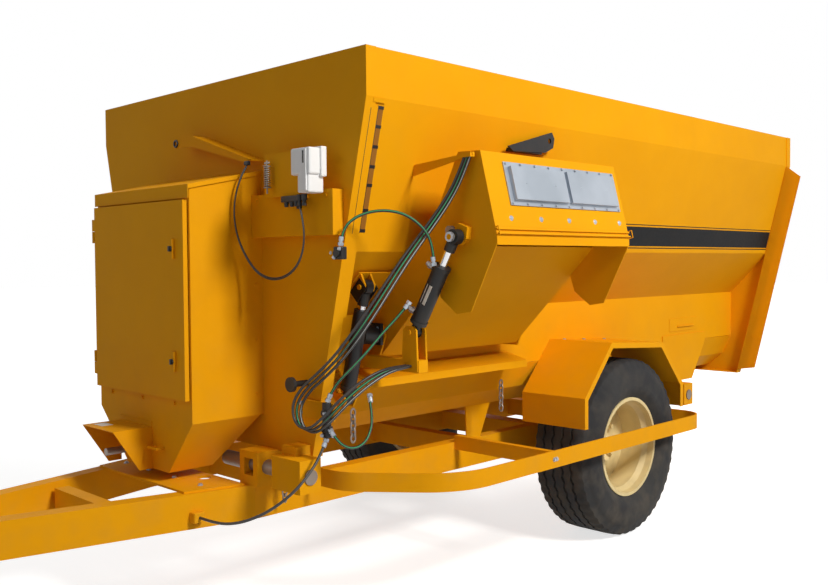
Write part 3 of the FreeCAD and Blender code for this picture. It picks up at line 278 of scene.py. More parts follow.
BLANK_LABEL = Finish("blank_label", (0.80, 0.79, 0.74), (0.70, 0.68, 0.62), 0.45, relief=0.1, scale=300, dust=0.1)
GREEN_STRIPE = Finish("green_stripe", (0.03, 0.36, 0.13), (0.04, 0.44, 0.17), 0.5, specular=0.3, relief=0.1, scale=300)
WHITE_STRIPE = Finish("white_stripe", (0.42, 0.44, 0.43), (0.34, 0.36, 0.36), 0.5, specular=0.3, relief=0.1, scale=300)
# The band's black film, also used for the band's lower fine line, which is painted shadow of the side's fold.
BAND_BLACK_AND_SHADE_LINE = Finish(
    "band_film_and_painted_shade", (0.009, 0.009, 0.010), (0.015, 0.015, 0.015), 0.50, specular=0.10, relief=0.03, scale=60, dust=0.1)
# Painted shade: a brownish finish for the yellow strip behind the corner flange, where the flange's shadow falls.
PAINTED_SHADE_STRIP = Finish(
    "corner_painted_shade", (0.30, 0.115, 0.012), (0.20, 0.075, 0.010), 0.6, specular=0.2, relief=0.4, scale=140,
    mottle=0.9, dust=0.3)
BRASS = Finish("brass_cap", (0.72, 0.50, 0.16), (0.60, 0.38, 0.10), 0.30, metallic=0.9, relief=0.1, scale=200)


# ---- mesh making

def add_box(bm: Bmesh, low: Vector, high: Vector, bevel: float = 0.0, turn: Matrix | None = None) -> None:
    """A box between two corners, with its edges eased, turned about its middle.

    Args:
        bm: the mesh that takes the box.
        low: the lowest corner.
        high: the highest corner.
        bevel: the width that the edges are eased by.
        turn: a rotation about the middle.
    """
    middle, size = (low + high) / 2, high - low
    matrix = Matrix.Translation(middle) @ (turn or Matrix.Identity(4)) @ Matrix.Diagonal((*size, 1))
    made = bmesh.ops.create_cube(bm, size=1, matrix=matrix)
    if bevel:
        edges = list({edge for vert in made["verts"] for edge in vert.link_edges})
        bmesh.ops.bevel(bm, geom=edges, offset=bevel, affect="EDGES", segments=2, profile=0.5, material=-1)


def add_boxes(bm: Bmesh, *rows: tuple[Point, Point, float]) -> None:
    """Upright boxes, each between two corners in millimetres, with its bevel in metres."""
    for low, high, bevel in rows:
        add_box(bm, at(*low), at(*high), bevel)


def add_round(bm: Bmesh, centre: Vector, axis: Axis | Matrix, radius: float, depth: float,
              segments: int = 20, top: float | None = None) -> None:
    """A closed cylinder or cone about a middle point.

    Args:
        bm: the mesh that takes it.
        centre: its middle.
        axis: where it points, or a rotation from +Z.
        radius: the radius at its foot.
        depth: its length.
        segments: how many sides it has.
        top: the radius at its top, where it differs.
    """
    turn = axis.turn() if isinstance(axis, Axis) else axis
    bmesh.ops.create_cone(bm, cap_ends=True, segments=segments, radius1=radius,
                          radius2=radius if top is None else top, depth=depth,
                          matrix=Matrix.Translation(centre) @ turn)


def wire_circle(bm: Bmesh, centre: Vector, ring: float, wire: float) -> list:
    """An upright circle of a wire's radius, a ring's radius off a centre: its vertices and edges, to be spun."""
    place = Matrix.Translation(centre + Vector((ring, 0, 0))) @ Matrix.Rotation(math.pi / 2, 4, "X")
    verts = bmesh.ops.create_circle(bm, segments=8, radius=wire, matrix=place)["verts"]
    return verts + list({edge for vert in verts for edge in vert.link_edges})


def add_ring(bm: Bmesh, centre: Vector, turn: Matrix, ring: float, wire: float, stretch: float = 1.0,
             steps: int = 20) -> None:
    """A ring or chain link of round wire.

    Args:
        bm: the mesh that takes it.
        centre: the ring's middle.
        turn: the rotation from the XY plane.
        ring: the radius of the wire's middle line.
        wire: the wire's radius.
        stretch: how much longer than wide the ring is, along its own X.
        steps: segments round the ring.
    """
    before = set(bm.verts)
    bmesh.ops.spin(bm, geom=wire_circle(bm, Vector(), ring, wire), cent=(0, 0, 0), axis=UP, angle=2 * math.pi,
                   steps=steps, use_merge=True)
    fresh = [vert for vert in bm.verts if vert not in before]
    bmesh.ops.transform(bm, verts=fresh, matrix=Matrix.Translation(centre) @ turn @ Matrix.Diagonal((stretch, 1, 1, 1)))


def add_bolt(bm: Bmesh, foot: Vector, out: Vector, radius: float, height: float) -> None:
    """A hexagon head on its washer, standing on a surface.

    Args:
        bm: the mesh that takes it.
        foot: the point on the surface.
        out: the surface's outward direction.
        radius: half the head's width.
        height: how far the head stands out.
    """
    turn = facing(out)
    add_round(bm, foot + out.normalized() * 0.001, turn, radius * 1.35, 0.002, 18)
    add_round(bm, foot + out.normalized() * (0.002 + height / 2), turn, radius, height, 6)


def add_bolts(bm: Bmesh, feet: Iterable[Point], out: Vector, radius: float, height: float) -> None:
    """A bolt at each place in millimetres."""
    for foot in feet:
        add_bolt(bm, at(*foot), out, radius, height)


def to_mesh(name: str, bm: Bmesh) -> bpy.types.Mesh:
    """A mesh made from a bmesh, which is freed."""
    mesh = bpy.data.meshes.new(name)
    bm.to_mesh(mesh)
    bm.free()
    return mesh


def make_piece(name: str, bm: Bmesh, finish: Finish, body: str,
               smooth: bool = False) -> bpy.types.Object:
    """Turn a bmesh into a finished piece that rides on a body.

    Args:
        name: the piece's name.
        bm: its mesh, which is freed.
        finish: its surface.
        body: the CAD body it moves with.
        smooth: whether it is shaded smooth where its faces meet at small angles.

    Returns:
        The new object.
    """
    bmesh.ops.recalc_face_normals(bm, faces=bm.faces)
    mesh = to_mesh(name, bm)
    mesh.materials.append(finish.material())
    if smooth:
        mesh.shade_smooth()
        mesh.set_sharp_from_angle(angle=math.radians(35))
    piece = show(bpy.data.objects.new(name, mesh))
    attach(piece, body)
    log.info("%s: %d faces", name, len(mesh.polygons))
    return piece


def slot_piece(name: str, bm: Bmesh, slot: Slot, body: str = CHASSIS, smooth: bool = False) -> bpy.types.Object:
    """A piece in its record slot's own finish."""
    return make_piece(name, bm, FINISHES[slot], body, smooth)


# ---- stage

@dataclass(frozen=True)
class Lamp:
    """One square area lamp: its place in millimetres, its size in metres, its power and colour."""

    name: str
    place: Point
    size: float
    power: float
    colour: Point

    def build(self, aim: Vector) -> None:
        """Make the lamp, turned to a point."""
        data = bpy.data.lights.new(self.name, "AREA")
        data.size = self.size
        data.energy = self.power
        data.color = self.colour
        lamp = show(bpy.data.objects.new(self.name, data))
        lamp.location = at(*self.place)
        lamp.rotation_euler = (aim - lamp.location).to_track_quat("-Z", "Y").to_euler()


@dataclass
class Stage:
    """The floor, the light and the camera; each glow is a distance in metres and how bright the floor is there."""

    eye: Vector = field(default_factory=lambda: at(4047, -2655, 1666))
    yaw: float = math.radians(44.573)
    pitch: float = math.radians(-1.889)
    roll: float = math.radians(-0.406)
    lens: float = 39.95
    pale: Point = (0.62, 0.62, 0.61)
    sky: float = 0.17
    sky_colour: Point = (0.90, 0.95, 1.0)
    floor_half: float = 60.0
    glow_near: tuple[float, float] = (4.0, 0.70)
    glow_far: tuple[float, float] = (14.0, 1.0)
    lit_middle: Point = (300, 1500, 1200)
    lamps: tuple[Lamp, ...] = (
        Lamp("key", (8200, 1100, 7000), 1.8, 800, (1.0, 0.98, 0.94)),
        Lamp("fill", (-2500, -7500, 5200), 6.0, 60, (0.95, 0.97, 1.0)),
        Lamp("back", (-7000, 9500, 6000), 5.0, 620, (0.97, 0.98, 1.0)))

    def camera(self) -> None:
        """Make the camera and make it the scene's."""
        ahead = Vector((-math.sin(self.yaw) * math.cos(self.pitch), math.cos(self.yaw) * math.cos(self.pitch),
                        math.sin(self.pitch)))
        level = Vector((math.cos(self.yaw), math.sin(self.yaw), 0))
        above = level.cross(ahead)
        right = level * math.cos(self.roll) + above * math.sin(self.roll)
        up = above * math.cos(self.roll) - level * math.sin(self.roll)
        data = bpy.data.cameras.new("camera")
        data.lens = self.lens
        data.sensor_width = 36
        data.clip_end = 200
        camera = show(bpy.data.objects.new("camera", data))
        matrix = Matrix((right, up, -ahead)).transposed().to_4x4()
        matrix.translation = self.eye
        camera.matrix_world = matrix
        bpy.context.scene.camera = camera

    def floor(self) -> None:
        """A wide pale floor at the ground, white to the camera but still with the object's shadow."""
        bm = bmesh.new()
        bmesh.ops.create_grid(bm, x_segments=1, y_segments=1, size=self.floor_half,
                              matrix=Matrix.Translation((0, 4, GROUND_Z)))
        mesh = to_mesh("floor", bm)
        material = bpy.data.materials.new("pale_floor")
        material.use_nodes = True
        tree = material.node_tree
        place = add_node(tree, "TexCoord").outputs["Object"]
        reach = add_node(tree, "VectorMath", {0: place}, operation="LENGTH").outputs["Value"]
        (near, glow_near), (far, glow_far) = self.glow_near, self.glow_far
        fade = add_node(tree, "MapRange", {
            "Value": reach, "From Min": near, "From Max": far, "To Min": glow_near, "To Max": glow_far}).outputs[0]
        strength = add_node(tree, "Math", {0: self.seen(tree), 1: fade}, operation="MULTIPLY").outputs[0]
        shader = feed(tree.nodes["Principled BSDF"], {
            "Base Color": self.pale + (1,), "Roughness": 0.9, "Specular IOR Level": 0.1}).outputs[0]
        glow = add_node(tree, "Emission", {"Strength": strength}).outputs[0]
        feed(tree.nodes["Material Output"], {"Surface": add_node(tree, "AddShader", {0: shader, 1: glow}).outputs[0]})
        mesh.materials.append(material)
        show(bpy.data.objects.new("floor", mesh))

    def seen(self, tree: bpy.types.NodeTree) -> Socket:
        """One where the background is seen directly, in gloss or through glass, and nought where it is light."""
        path = add_node(tree, "LightPath").outputs
        seen = path["Is Camera Ray"]
        for label in ("Is Glossy Ray", "Is Transmission Ray"):
            seen = add_node(tree, "Math", {0: seen, 1: path[label]}, operation="MAXIMUM").outputs[0]
        return seen

    def world(self) -> None:
        """A pale sky: white in view, softer as light."""
        world = bpy.data.worlds.new("pale_sky")
        bpy.context.scene.world = world
        world.use_nodes = True
        tree = world.node_tree
        tree.nodes.clear()
        light = add_node(tree, "Background", {"Color": self.sky_colour + (1,), "Strength": self.sky}).outputs[0]
        shown = add_node(tree, "Background", {"Color": (1, 1, 1, 1)}).outputs[0]
        blend = add_node(tree, "MixShader", {"Fac": self.seen(tree), 1: light, 2: shown}).outputs[0]
        add_node(tree, "OutputWorld", {"Surface": blend})

    def build(self) -> None:
        """Make everything round the object."""
        bpy.context.scene.view_settings.view_transform = "Standard"
        self.camera()
        self.floor()
        self.world()
        for lamp in self.lamps:
            lamp.build(at(*self.lit_middle))


# ---- CAD nodes' finishes

@dataclass
class Castings:
    """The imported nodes, each dressed in its slot's finish."""

    frame: dict

    def build(self) -> None:
        """Give every node its material."""
        slots = {row["node"]: row["material_slot"] for row in self.frame["record"]["subparts"]}
        for node, piece in self.frame["nodes"].items():
            finish = FINISHES[Slot(slots[node])]
            piece.data.materials.clear()
            piece.data.materials.append(finish.material())


# ---- wheels

@dataclass
class Wheels:
    """Tyres with zigzag ribs, and the nuts on both discs."""

    middle_x: float = 920.0
    axle_y: float = 2220.0
    radius: float = 536.0
    half_width: float = 192.0
    tread_half: float = 150.0
    steps: int = 192
    groove_depth: float = 14.0
    wave: float = 6.0
    bolt_rings: tuple[tuple[float, ...], ...] = ((10, 0, 144.05, 62, 0.015, 0.022), (6, 0.5, 66, 40, 0.007, 0.005))

    def section(self) -> list[tuple[float, float]]:
        """Half of the tyre's section, from the tread's middle out to the bead, as (across, radius)."""
        top, wide, tread, floor = self.radius, self.half_width, self.tread_half, self.radius - self.groove_depth
        ribs = []
        for groove in (33.0, 94.0):
            ribs += [(groove - 8, top - 1), (groove - 5, floor), (groove + 5, floor), (groove + 8, top - 1.5)]
        wall = [(tread - 4, top - 4), (tread + 12, top - 14), (wide - 20, top - 40), (wide - 12, top - 62),
                (wide - 10, top - 64), (wide - 4, top - 96), (wide, 404), (wide - 3, 372), (wide - 2, 368),
                (wide - 12, 336), (155, 306), (150, 299), (149, 286)]
        return ribs + wall

    def tyre(self, name: str, side: int) -> None:
        """A whole tyre, spun and then worked into zigzag ribs and notched shoulders.

        Args:
            name: the CAD node that it stands for.
            side: 1 on the left, -1 on the right.
        """
        centre = at(side * self.middle_x, self.axle_y, self.radius)
        half = self.section()
        line = [(-across, radius) for across, radius in reversed(half)] + half
        bm = bmesh.new()
        verts = [bm.verts.new(centre + Vector((across / 1000, 0, radius / 1000))) for across, radius in line]
        edges = [bm.edges.new(pair) for pair in zip(verts, verts[1:] + verts[:1])]
        bmesh.ops.spin(bm, geom=verts + edges, cent=centre, axis=(1, 0, 0), angle=2 * math.pi,
                       steps=self.steps, use_merge=True)
        for vert in bm.verts:
            self.shape_tread(vert, centre)
        piece = make_piece(f"{name}_treaded", bm, FINISHES[Slot.TYRE], f"wheel_{name.split('_')[1]}_body",
                           smooth=True)
        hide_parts(name)

    def shape_tread(self, vert: bmesh.types.BMVert, centre: Vector) -> None:
        """Move one vertex of the tread: sideways for the zigzag, inward for a shoulder notch.

        Args:
            vert: the vertex.
            centre: the wheel's middle.
        """
        offset = vert.co - centre
        around = math.hypot(offset.y, offset.z)
        across = abs(offset.x) * 1000
        step = round(math.atan2(offset.z, offset.y) / (2 * math.pi) * self.steps)
        if around * 1000 > self.radius - 20 and across < self.tread_half - 10:
            vert.co.x += (0, 1, 0, -1)[step % 4] * self.wave / 1000
        if around * 1000 > self.radius - 44 and across > self.tread_half - 10 and step % 4 < 2:
            shrink = 1 - 0.007 / around
            vert.co.y = centre.y + offset.y * shrink
            vert.co.z = centre.z + offset.z * shrink

    def nuts(self, name: str, side: int) -> None:
        """The wheel nuts and the hub's bolts on the disc's outer face.

        Args:
            name: the wheel's side.
            side: 1 on the left, -1 on the right.
        """
        bm = bmesh.new()
        out = Vector((side, 0, 0))
        for count, turn, circle, inset, radius, height in self.bolt_rings:
            for index in range(count):
                angle = 2 * math.pi * (index + turn) / count
                spot = at(side * (self.middle_x - inset), self.axle_y + circle * math.cos(angle),
                          self.radius + circle * math.sin(angle))
                add_bolt(bm, spot, out, radius, height)
        make_piece(f"wheel_nuts_{name}", bm, FINISHES[Slot.CREAM], f"wheel_{name}_body")

    def build(self) -> None:
        """Both wheels."""
        for side, name in ((1, "left"), (-1, "right")):
            self.tyre(f"tyre_{name}", side)
            self.nuts(name, side)


# ---- hoses and cables

@dataclass
class Hoses:
    """The free hoses and the scale's cable, each on its route, with stripes along most of the hoses."""

    bundle: tuple[Point, ...] = (
        (1389, 360, 2120), (1352, 350, 2030), (1306, 322, 1936), (1262, 276, 1846), (1228, 212, 1756),
        (1200, 142, 1662), (1176, 72, 1562), (1144, 10, 1462), (1090, -38, 1360), (1012, -68, 1262),
        (922, -94, 1178), (830, -108, 1112), (768, -114, 1032), (786, -114, 946), (868, -106, 924),
        (950, -88, 984), (1020, -46, 1070), (1064, 26, 1140), (1084, 116, 1180), (1086, 206, 1194),
        (1084, 296, 1194))
    upper: tuple[Point, ...] = (
        (1030, -44, 1740), (1040, -40, 1812), (1082, 4, 1868), (1150, 76, 1894), (1222, 150, 1880),
        (1270, 216, 1824), (1287, 262, 1752), (1284, 274, 1672))
    lower: tuple[Point, ...] = (
        (1130, 258, 1470), (1104, 226, 1420), (1076, 160, 1352), (1050, 88, 1270), (1006, 22, 1190),
        (950, -18, 1122), (922, -36, 1050))
    loop: tuple[Point, ...] = (
        (938, -36, 928), (992, -36, 876), (1040, 4, 846), (1058, 66, 868), (1042, 120, 928), (1002, 158, 990),
        (962, 180, 1052))
    supply: tuple[Point, ...] = (
        (914, -36, 884), (918, -76, 812), (930, -156, 740), (922, -236, 674), (868, -316, 606), (780, -376, 556),
        (672, -404, 528), (560, -410, 520), (470, -410, 520))
    cable: tuple[Point, ...] = (
        (838, -112, 1920), (860, -112, 1852), (866, -110, 1770), (840, -108, 1690), (776, -106, 1630),
        (690, -106, 1598), (600, -110, 1596), (520, -120, 1628), (470, -140, 1696), (444, -164, 1776),
        (430, -176, 1860), (428, -176, 1944), (434, -160, 2026), (440, -134, 2092), (436, -108, 2126))
    hose_radius: float = 6.5
    cable_radius: float = 4.0
    apart: float = 16.0
    slant: Point = (-6.0, 14.0, -9.0)
    eased_in: int = 8
    eased_out: int = 3

    def beside(self, count: int) -> list[Point]:
        """The bundle's route moved sideways for its next hose: level at both ends, slanted between.

        Args:
            count: how many hoses away it is.

        Returns:
            The moved points, in millimetres.
        """
        last, (dx, dy, dz) = len(self.bundle) - 1, self.slant
        moved = []
        for index, (x, y, z) in enumerate(self.bundle):
            part = min(1, index / self.eased_in, (last - index) / self.eased_out)
            moved.append((x + (self.apart + dx * part) * count, y + dy * part * count, z + dz * part * count))
        return moved

    def line(self, name: str, route: Sequence[Point], radius: float, finish: Finish,
             shift: Vector = Vector()) -> bpy.types.Object:
        """A smooth round line with the route as its control points.

        Args:
            name: the piece's name.
            route: its points, in millimetres as at() takes them.
            radius: the line's radius in millimetres.
            finish: its surface.
            shift: how far the whole line is moved, in metres.

        Returns:
            The curve, riding on the chassis.
        """
        curve = bpy.data.curves.new(name, "CURVE")
        curve.dimensions = "3D"
        spline = curve.splines.new("NURBS")
        spline.points.add(len(route) - 1)
        for point, spot in zip(spline.points, route):
            point.co = (*(at(*spot) + shift), 1)
        spline.order_u = 3
        spline.use_endpoint_u = True
        spline.resolution_u = 10
        curve.bevel_depth = radius / 1000
        curve.bevel_resolution = 4
        curve.use_fill_caps = True
        curve.materials.append(finish.material())
        piece = show(bpy.data.objects.new(name, curve))
        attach(piece, CHASSIS)
        return piece

    def free_line(self, node: str, route: Sequence[Point], radius: float, stripe: Finish | None = None,
                  twin: bool = False) -> None:
        """One cord in place of its CAD tube, with an optional stripe or second strand along it.

        Args:
            node: the CAD tube.
            route: its points, in millimetres.
            radius: its radius in millimetres.
            stripe: the finish of a stripe along it.
            twin: whether a second strand runs beside it.
        """
        piece = self.line(f"{node}_line", route, radius, FINISHES[Slot.RUBBER])
        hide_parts(node)
        if stripe is not None:
            aside = Vector((0.74, -0.62, 0.25)).normalized() * (radius * 0.74 / 1000)
            self.line(f"{node}_stripe", route, radius * 0.36, stripe, aside)
        if twin:
            self.line(f"{node}_twin", route, radius * 0.9, FINISHES[Slot.RUBBER],
                                     Vector((0.005, -0.004, -0.006)))

    def build(self) -> None:
        """Every hose and the cable."""
        stripes = (None, GREEN_STRIPE, WHITE_STRIPE)
        for count, (name, stripe) in enumerate(zip(("black", "green", "white"), stripes)):
            self.free_line(f"hose_bundle_{name}", self.beside(count), self.hose_radius, stripe)
        for name, route in (("upper", self.upper), ("lower", self.lower), ("loop", self.loop)):
            self.free_line(f"hose_{name}", route, self.hose_radius, GREEN_STRIPE)
        self.free_line("hose_supply", self.supply, self.hose_radius)
        self.free_line("scale_cable", self.cable, self.cable_radius, twin=True)


# ---- trim

@dataclass
class SideTrim:
    """The left side's black band, the slotted plate on the lower box, and the front and rear corners."""

    band_start: float = 1300.0
    band_end: float = 4314.0
    # The first pair is a painted shadow line of the side's fold; the others are the black band and its upper fine line.
    band_lines: tuple[tuple[float, float], ...] = ((1742, 1748), (1757, 1876), (1886, 1891))
    foot_half: float = 990.0
    foot_height: float = 1715.0
    top_half: float = 1150.0
    top_height: float = 2376.0
    joint_ticks: tuple[float, ...] = (2335, 2255, 2170, 2085, 2005, 1896, 1807)

    def side_x(self, z: float) -> float:
        """How far out the side stands at a height."""
        return self.foot_half + (z - self.foot_height) * (self.top_half - self.foot_half) \
            / (self.top_height - self.foot_height)

    def flat(self, bm: Bmesh, low: float, high: float, start: float, end: float, out: float = 0.2,
             rise: float = 0.8) -> None:
        """A flat bar on the leaning side.

        Args:
            bm: the mesh that takes it.
            low: its lower edge's height.
            high: its upper edge's height.
            start: its front edge.
            end: its rear edge.
            out: how far off the sheet it begins.
            rise: how thick it is.
        """
        lean = math.atan2(self.side_x(high) - self.side_x(low), high - low)
        middle, off = (low + high) / 2, (out + rise / 2) / math.cos(lean)
        centre = at(self.side_x(middle) + off, (start + end) / 2, middle)
        half = Vector((rise / 2000, (end - start) / 2000, (high - low) / 2000 / math.cos(lean)))
        add_box(bm, centre - half, centre + half, turn=Matrix.Rotation(lean, 4, "Y"))

    def band(self) -> None:
        """The black band with its two fine lines; the lower line is a painted shadow of the side's fold."""
        bm = bmesh.new()
        for low, high in self.band_lines:
            self.flat(bm, low, high, self.band_start, self.band_end)
        make_piece("side_band", bm, BAND_BLACK_AND_SHADE_LINE, CHASSIS)

    def slot_plate(self) -> None:
        """The plate with its grab slot on the lower box, behind the wheel."""
        bm = bmesh.new()
        add_boxes(bm, ((689, 3390, 1146), (693, 3810, 1240), 0.0015), ((693, 3500, 1176), (705, 3740, 1184), 0.002))
        slot_piece("slot_plate", bm, Slot.YELLOW)

    def corner(self) -> None:
        """The front corner: the flange's wide edge and cap, its seams with a painted shadow line, and a strip of
        painted shade behind it.
        """
        bm = bmesh.new()
        self.flat(bm, 1420, 2340, 60, 78, 0.2, 6)
        self.flat(bm, 2354, 2373, 44, 116, 6.2, 2)
        slot_piece("corner_edge", bm, Slot.YELLOW)
        # A strip of painted shade behind the flange, in the brownish shade finish.
        bm = bmesh.new()
        self.flat(bm, 1800, 2342, 86, 114, 0.2, 1.2)
        make_piece("corner_shade_strip", bm, PAINTED_SHADE_STRIP, CHASSIS)
        bm = bmesh.new()
        self.flat(bm, 1793, 2329, 36, 38.5, 6.1, 0.6)
        # Painted shadow: this thin black strip stands for the deepest shade beside the raised flange; the seam line
        # before it and the ticks after it are real marks.
        self.flat(bm, 1799, 2342, 78.2, 85, 0.2, 1.6)
        for z in self.joint_ticks:
            self.flat(bm, z - 7, z + 7, 84, 116, 1.3, 0.8)
        slot_piece("corner_seams_and_shade_line", bm, Slot.BLACK)

    def wing(self) -> None:
        """The splayed edge plate of the rear wall's corner."""
        bm = bmesh.new()
        corners = [at(self.side_x(z) + out, y, z) for out, y, z in
                   ((4, 4316, 800), (112, 4384, 815), (104, 4384, 2294), (6, 4316, 2372))]
        face = bm.faces.new([bm.verts.new(corner) for corner in corners])
        bmesh.ops.solidify(bm, geom=[face], thickness=0.005)
        slot_piece("rear_corner_wing", bm, Slot.YELLOW)

    def build(self) -> None:
        """All trim on the left side."""
        self.wing()
        self.band()
        self.slot_plate()
        self.corner()


@dataclass
class SpoutTrim:
    """Bolts, magnet cover screws, hook tabs and edge strips on the conveyor's hood."""

    top: tuple[float, float] = (1457.0, 2148.0)
    foot: tuple[float, float] = (1550.0, 1779.0)
    front: float = 386.0
    rear: float = 1437.0
    fixings: tuple[float, ...] = (508, 725, 942, 1159, 1376)
    screw_rows: tuple[float, ...] = (51, 235)
    screws: tuple[float, ...] = tuple(534 + index * 106.5 for index in range(9))
    cover_screws: tuple[float, ...] = (640, 860, 1064, 1284)
    strips: tuple[Point, ...] = ((352, 5, 9), (374, 9, 7))
    lips: tuple[tuple[float, ...], ...] = ((345, 7, 0.030, 0.004), (363, 20, 0.004, 0.036), (381, 8, 0.028, 0.004))

    def panel(self, down: float, out: float, y: float) -> Vector:
        """A place on the front panel: down from its top edge and out from its face."""
        dx, dz = self.foot[0] - self.top[0], self.top[1] - self.foot[1]
        fall = math.hypot(dx, dz)
        return at(self.top[0] + (down * dx + out * dz) / fall, y, self.top[1] - (down * dz - out * dx) / fall)

    def outward(self) -> Vector:
        """The front panel's outward direction."""
        return (self.panel(0, 100, 0) - self.panel(0, 0, 0)).normalized()

    def bolts(self) -> None:
        """Five round-headed bolts under the magnet covers and small screws round their frame."""
        bm = bmesh.new()
        turn = facing(self.outward())
        for y in self.fixings:
            add_round(bm, self.panel(302, 3, y), turn, 0.013, 0.006, 20, 0.007)
        for down in self.screw_rows:
            for y in self.screws:
                add_bolt(bm, self.panel(down, 6, y), self.outward(), radius=0.005, height=0.004)
        for y in self.cover_screws:
            add_round(bm, self.panel(143, 25, y), turn, 0.006, 0.003, 16, 0.003)
        slot_piece("spout_bolts", bm, Slot.ZINC, CONVEYOR)

    def hooks(self) -> None:
        """The hood's lower fold: two folded strips along its edge and a thin lip round each end."""
        bm = bmesh.new()
        turn = Matrix.Rotation(math.atan2(self.foot[0] - self.top[0], self.top[1] - self.foot[1]), 4, "Y").inverted()
        for down, rise, thick in self.strips:
            middle = self.panel(down, rise, (self.front + self.rear) / 2)
            half = Vector((0.004, (self.rear - self.front) / 2000, thick / 2000))
            add_box(bm, middle - half, middle + half, 0.0015, turn)
        for y in (self.front - 4, self.rear + 4):
            for down, rise, wide, tall in self.lips:
                middle = self.panel(down, rise, y)
                half = Vector((wide / 2, 0.0025, tall / 2))
                add_box(bm, middle - half, middle + half, 0.001, turn)
        slot_piece("spout_hooks", bm, Slot.YELLOW, CONVEYOR)

    def pin_heads(self) -> None:
        """Snap rings and washers on the lift cylinder's upper pin."""
        bm = bmesh.new()
        for y in (291, 300):
            add_round(bm, at(1360, y, 1775), Axis.Y, 0.022, 0.004, 24)
        slot_piece("upper_pin_rings", bm, Slot.ZINC, CONVEYOR)

    def build(self) -> None:
        """All trim on the spout."""
        self.bolts()
        self.hooks()
        self.pin_heads()


@dataclass
class CylinderTrim:
    """Collars, ports, a blank label, rod ends and pin caps on one hydraulic cylinder."""

    name: str
    low: tuple[float, float]
    high: tuple[float, float]
    y: float
    radius: float
    barrel: str
    rod: str
    ports: tuple[float, ...] = ()
    collars: tuple[float, ...] = ()
    label_at: float = 0.0
    sleeve: float = 60.0
    port_stack: tuple[tuple[float, float, float, int], ...] = (
        (9, 0.013, 0.020, 16), (22, 0.016, 0.012, 6), (34, 0.011, 0.014, 16))

    def run(self) -> tuple[float, float]:
        """How far the upper pin is across and above the lower one."""
        return self.high[0] - self.low[0], self.high[1] - self.low[1]

    def spot(self, along: float, aside: float, y: float) -> Vector:
        """A place by the cylinder: along its axis from the lower pin, and aside from it."""
        (dx, dz), span = self.run(), self.span()
        return at(self.low[0] + (along * dx - aside * dz) / span, y, self.low[1] + (along * dz + aside * dx) / span)

    def axis(self) -> Matrix:
        """The rotation from +Z to the cylinder's axis."""
        return facing(self.spot(100, 0, 0) - self.spot(0, 0, 0))

    def span(self) -> float:
        """The distance between the two pins."""
        return math.hypot(*self.run())

    def fittings(self) -> None:
        """Black collars on the barrel, and zinc port nuts with their crimped hose ends."""
        bm = bmesh.new()
        for along in self.collars:
            add_round(bm, self.spot(along, 0, self.y), self.axis(), (self.radius + 3) / 1000, 0.018, 32)
        slot_piece(f"{self.name}_collars", bm, Slot.BLACK, self.barrel, smooth=True)
        if not self.ports:
            return
        bm = bmesh.new()
        across = facing(self.spot(0, 10, 0) - self.spot(0, 0, 0))
        for along in self.ports:
            for aside, radius, depth, segments in self.port_stack:
                add_round(bm, self.spot(along, self.radius + aside, self.y - 8), across, radius, depth, segments)
        slot_piece(f"{self.name}_ports", bm, Slot.ZINC, self.barrel)

    def label(self) -> None:
        """The blank label on the barrel's front."""
        bm = bmesh.new()
        middle = self.spot(self.label_at, -6, self.y - self.radius + 1.2)
        half = Vector((0.015, 0.0008, 0.048))
        add_box(bm, middle - half, middle + half, turn=Matrix.Rotation(math.atan2(*self.run()), 4, "Y"))
        make_piece(f"{self.name}_label", bm, BLANK_LABEL, self.barrel)

    def rod_end(self) -> None:
        """The black eye and sleeve at the rod's end, and the brass cap on its pin."""
        bm = bmesh.new()
        end = self.span()
        add_round(bm, self.spot(end, 0, self.y), Axis.Y, 0.034, 0.042, 32)
        add_round(bm, self.spot(end - 28 - self.sleeve / 2, 0, self.y), self.axis(), 0.026, self.sleeve / 1000, 28)
        slot_piece(f"{self.name}_rod_end", bm, Slot.BLACK, self.rod, smooth=True)
        bm = bmesh.new()
        add_round(bm, self.spot(end, 0, self.y - 23), Axis.Y, 0.017, 0.006, 24, 0.014)
        make_piece(f"{self.name}_pin_cap", bm, BRASS, self.rod, smooth=True)

    def build(self) -> None:
        """Everything on this cylinder."""
        self.fittings()
        if self.label_at:
            self.label()
        self.rod_end()


LIFT_CYLINDER = CylinderTrim(
    "lift_cylinder", (1108.0, 1348.0), (1360.0, 1775.0), 330.0, 38.0, "lift_barrel_body", "lift_rod_body",
    ports=(84.0, 318.0), collars=(58.0, 338.0), label_at=205.0, sleeve=42.0)
GATE_CYLINDER = CylinderTrim(
    "gate_cylinder", (775.0, 1020.0), (917.4, 1553.5), 205.0, 36.0, "gate_barrel_body", "gate_rod_body",
    collars=(60.0,))


@dataclass
class GateLug:
    """Black cheeks on the lug that lifts the slide gate."""

    eye: tuple[float, float] = (905.0, 1539.0)
    half: Point = (46.0, 1.5, 34.0)

    def build(self) -> None:
        """Both cheeks, turned to the slope."""
        bm = bmesh.new()
        half = Vector(self.half) / 1000
        for y in (169, 241):
            middle = at(self.eye[0], y, self.eye[1])
            add_box(bm, middle - half, middle + half, 0.001, Matrix.Rotation(math.radians(-45.3), 4, "Y"))
        slot_piece("gate_lug_cheeks", bm, Slot.BLACK, "gate_body")


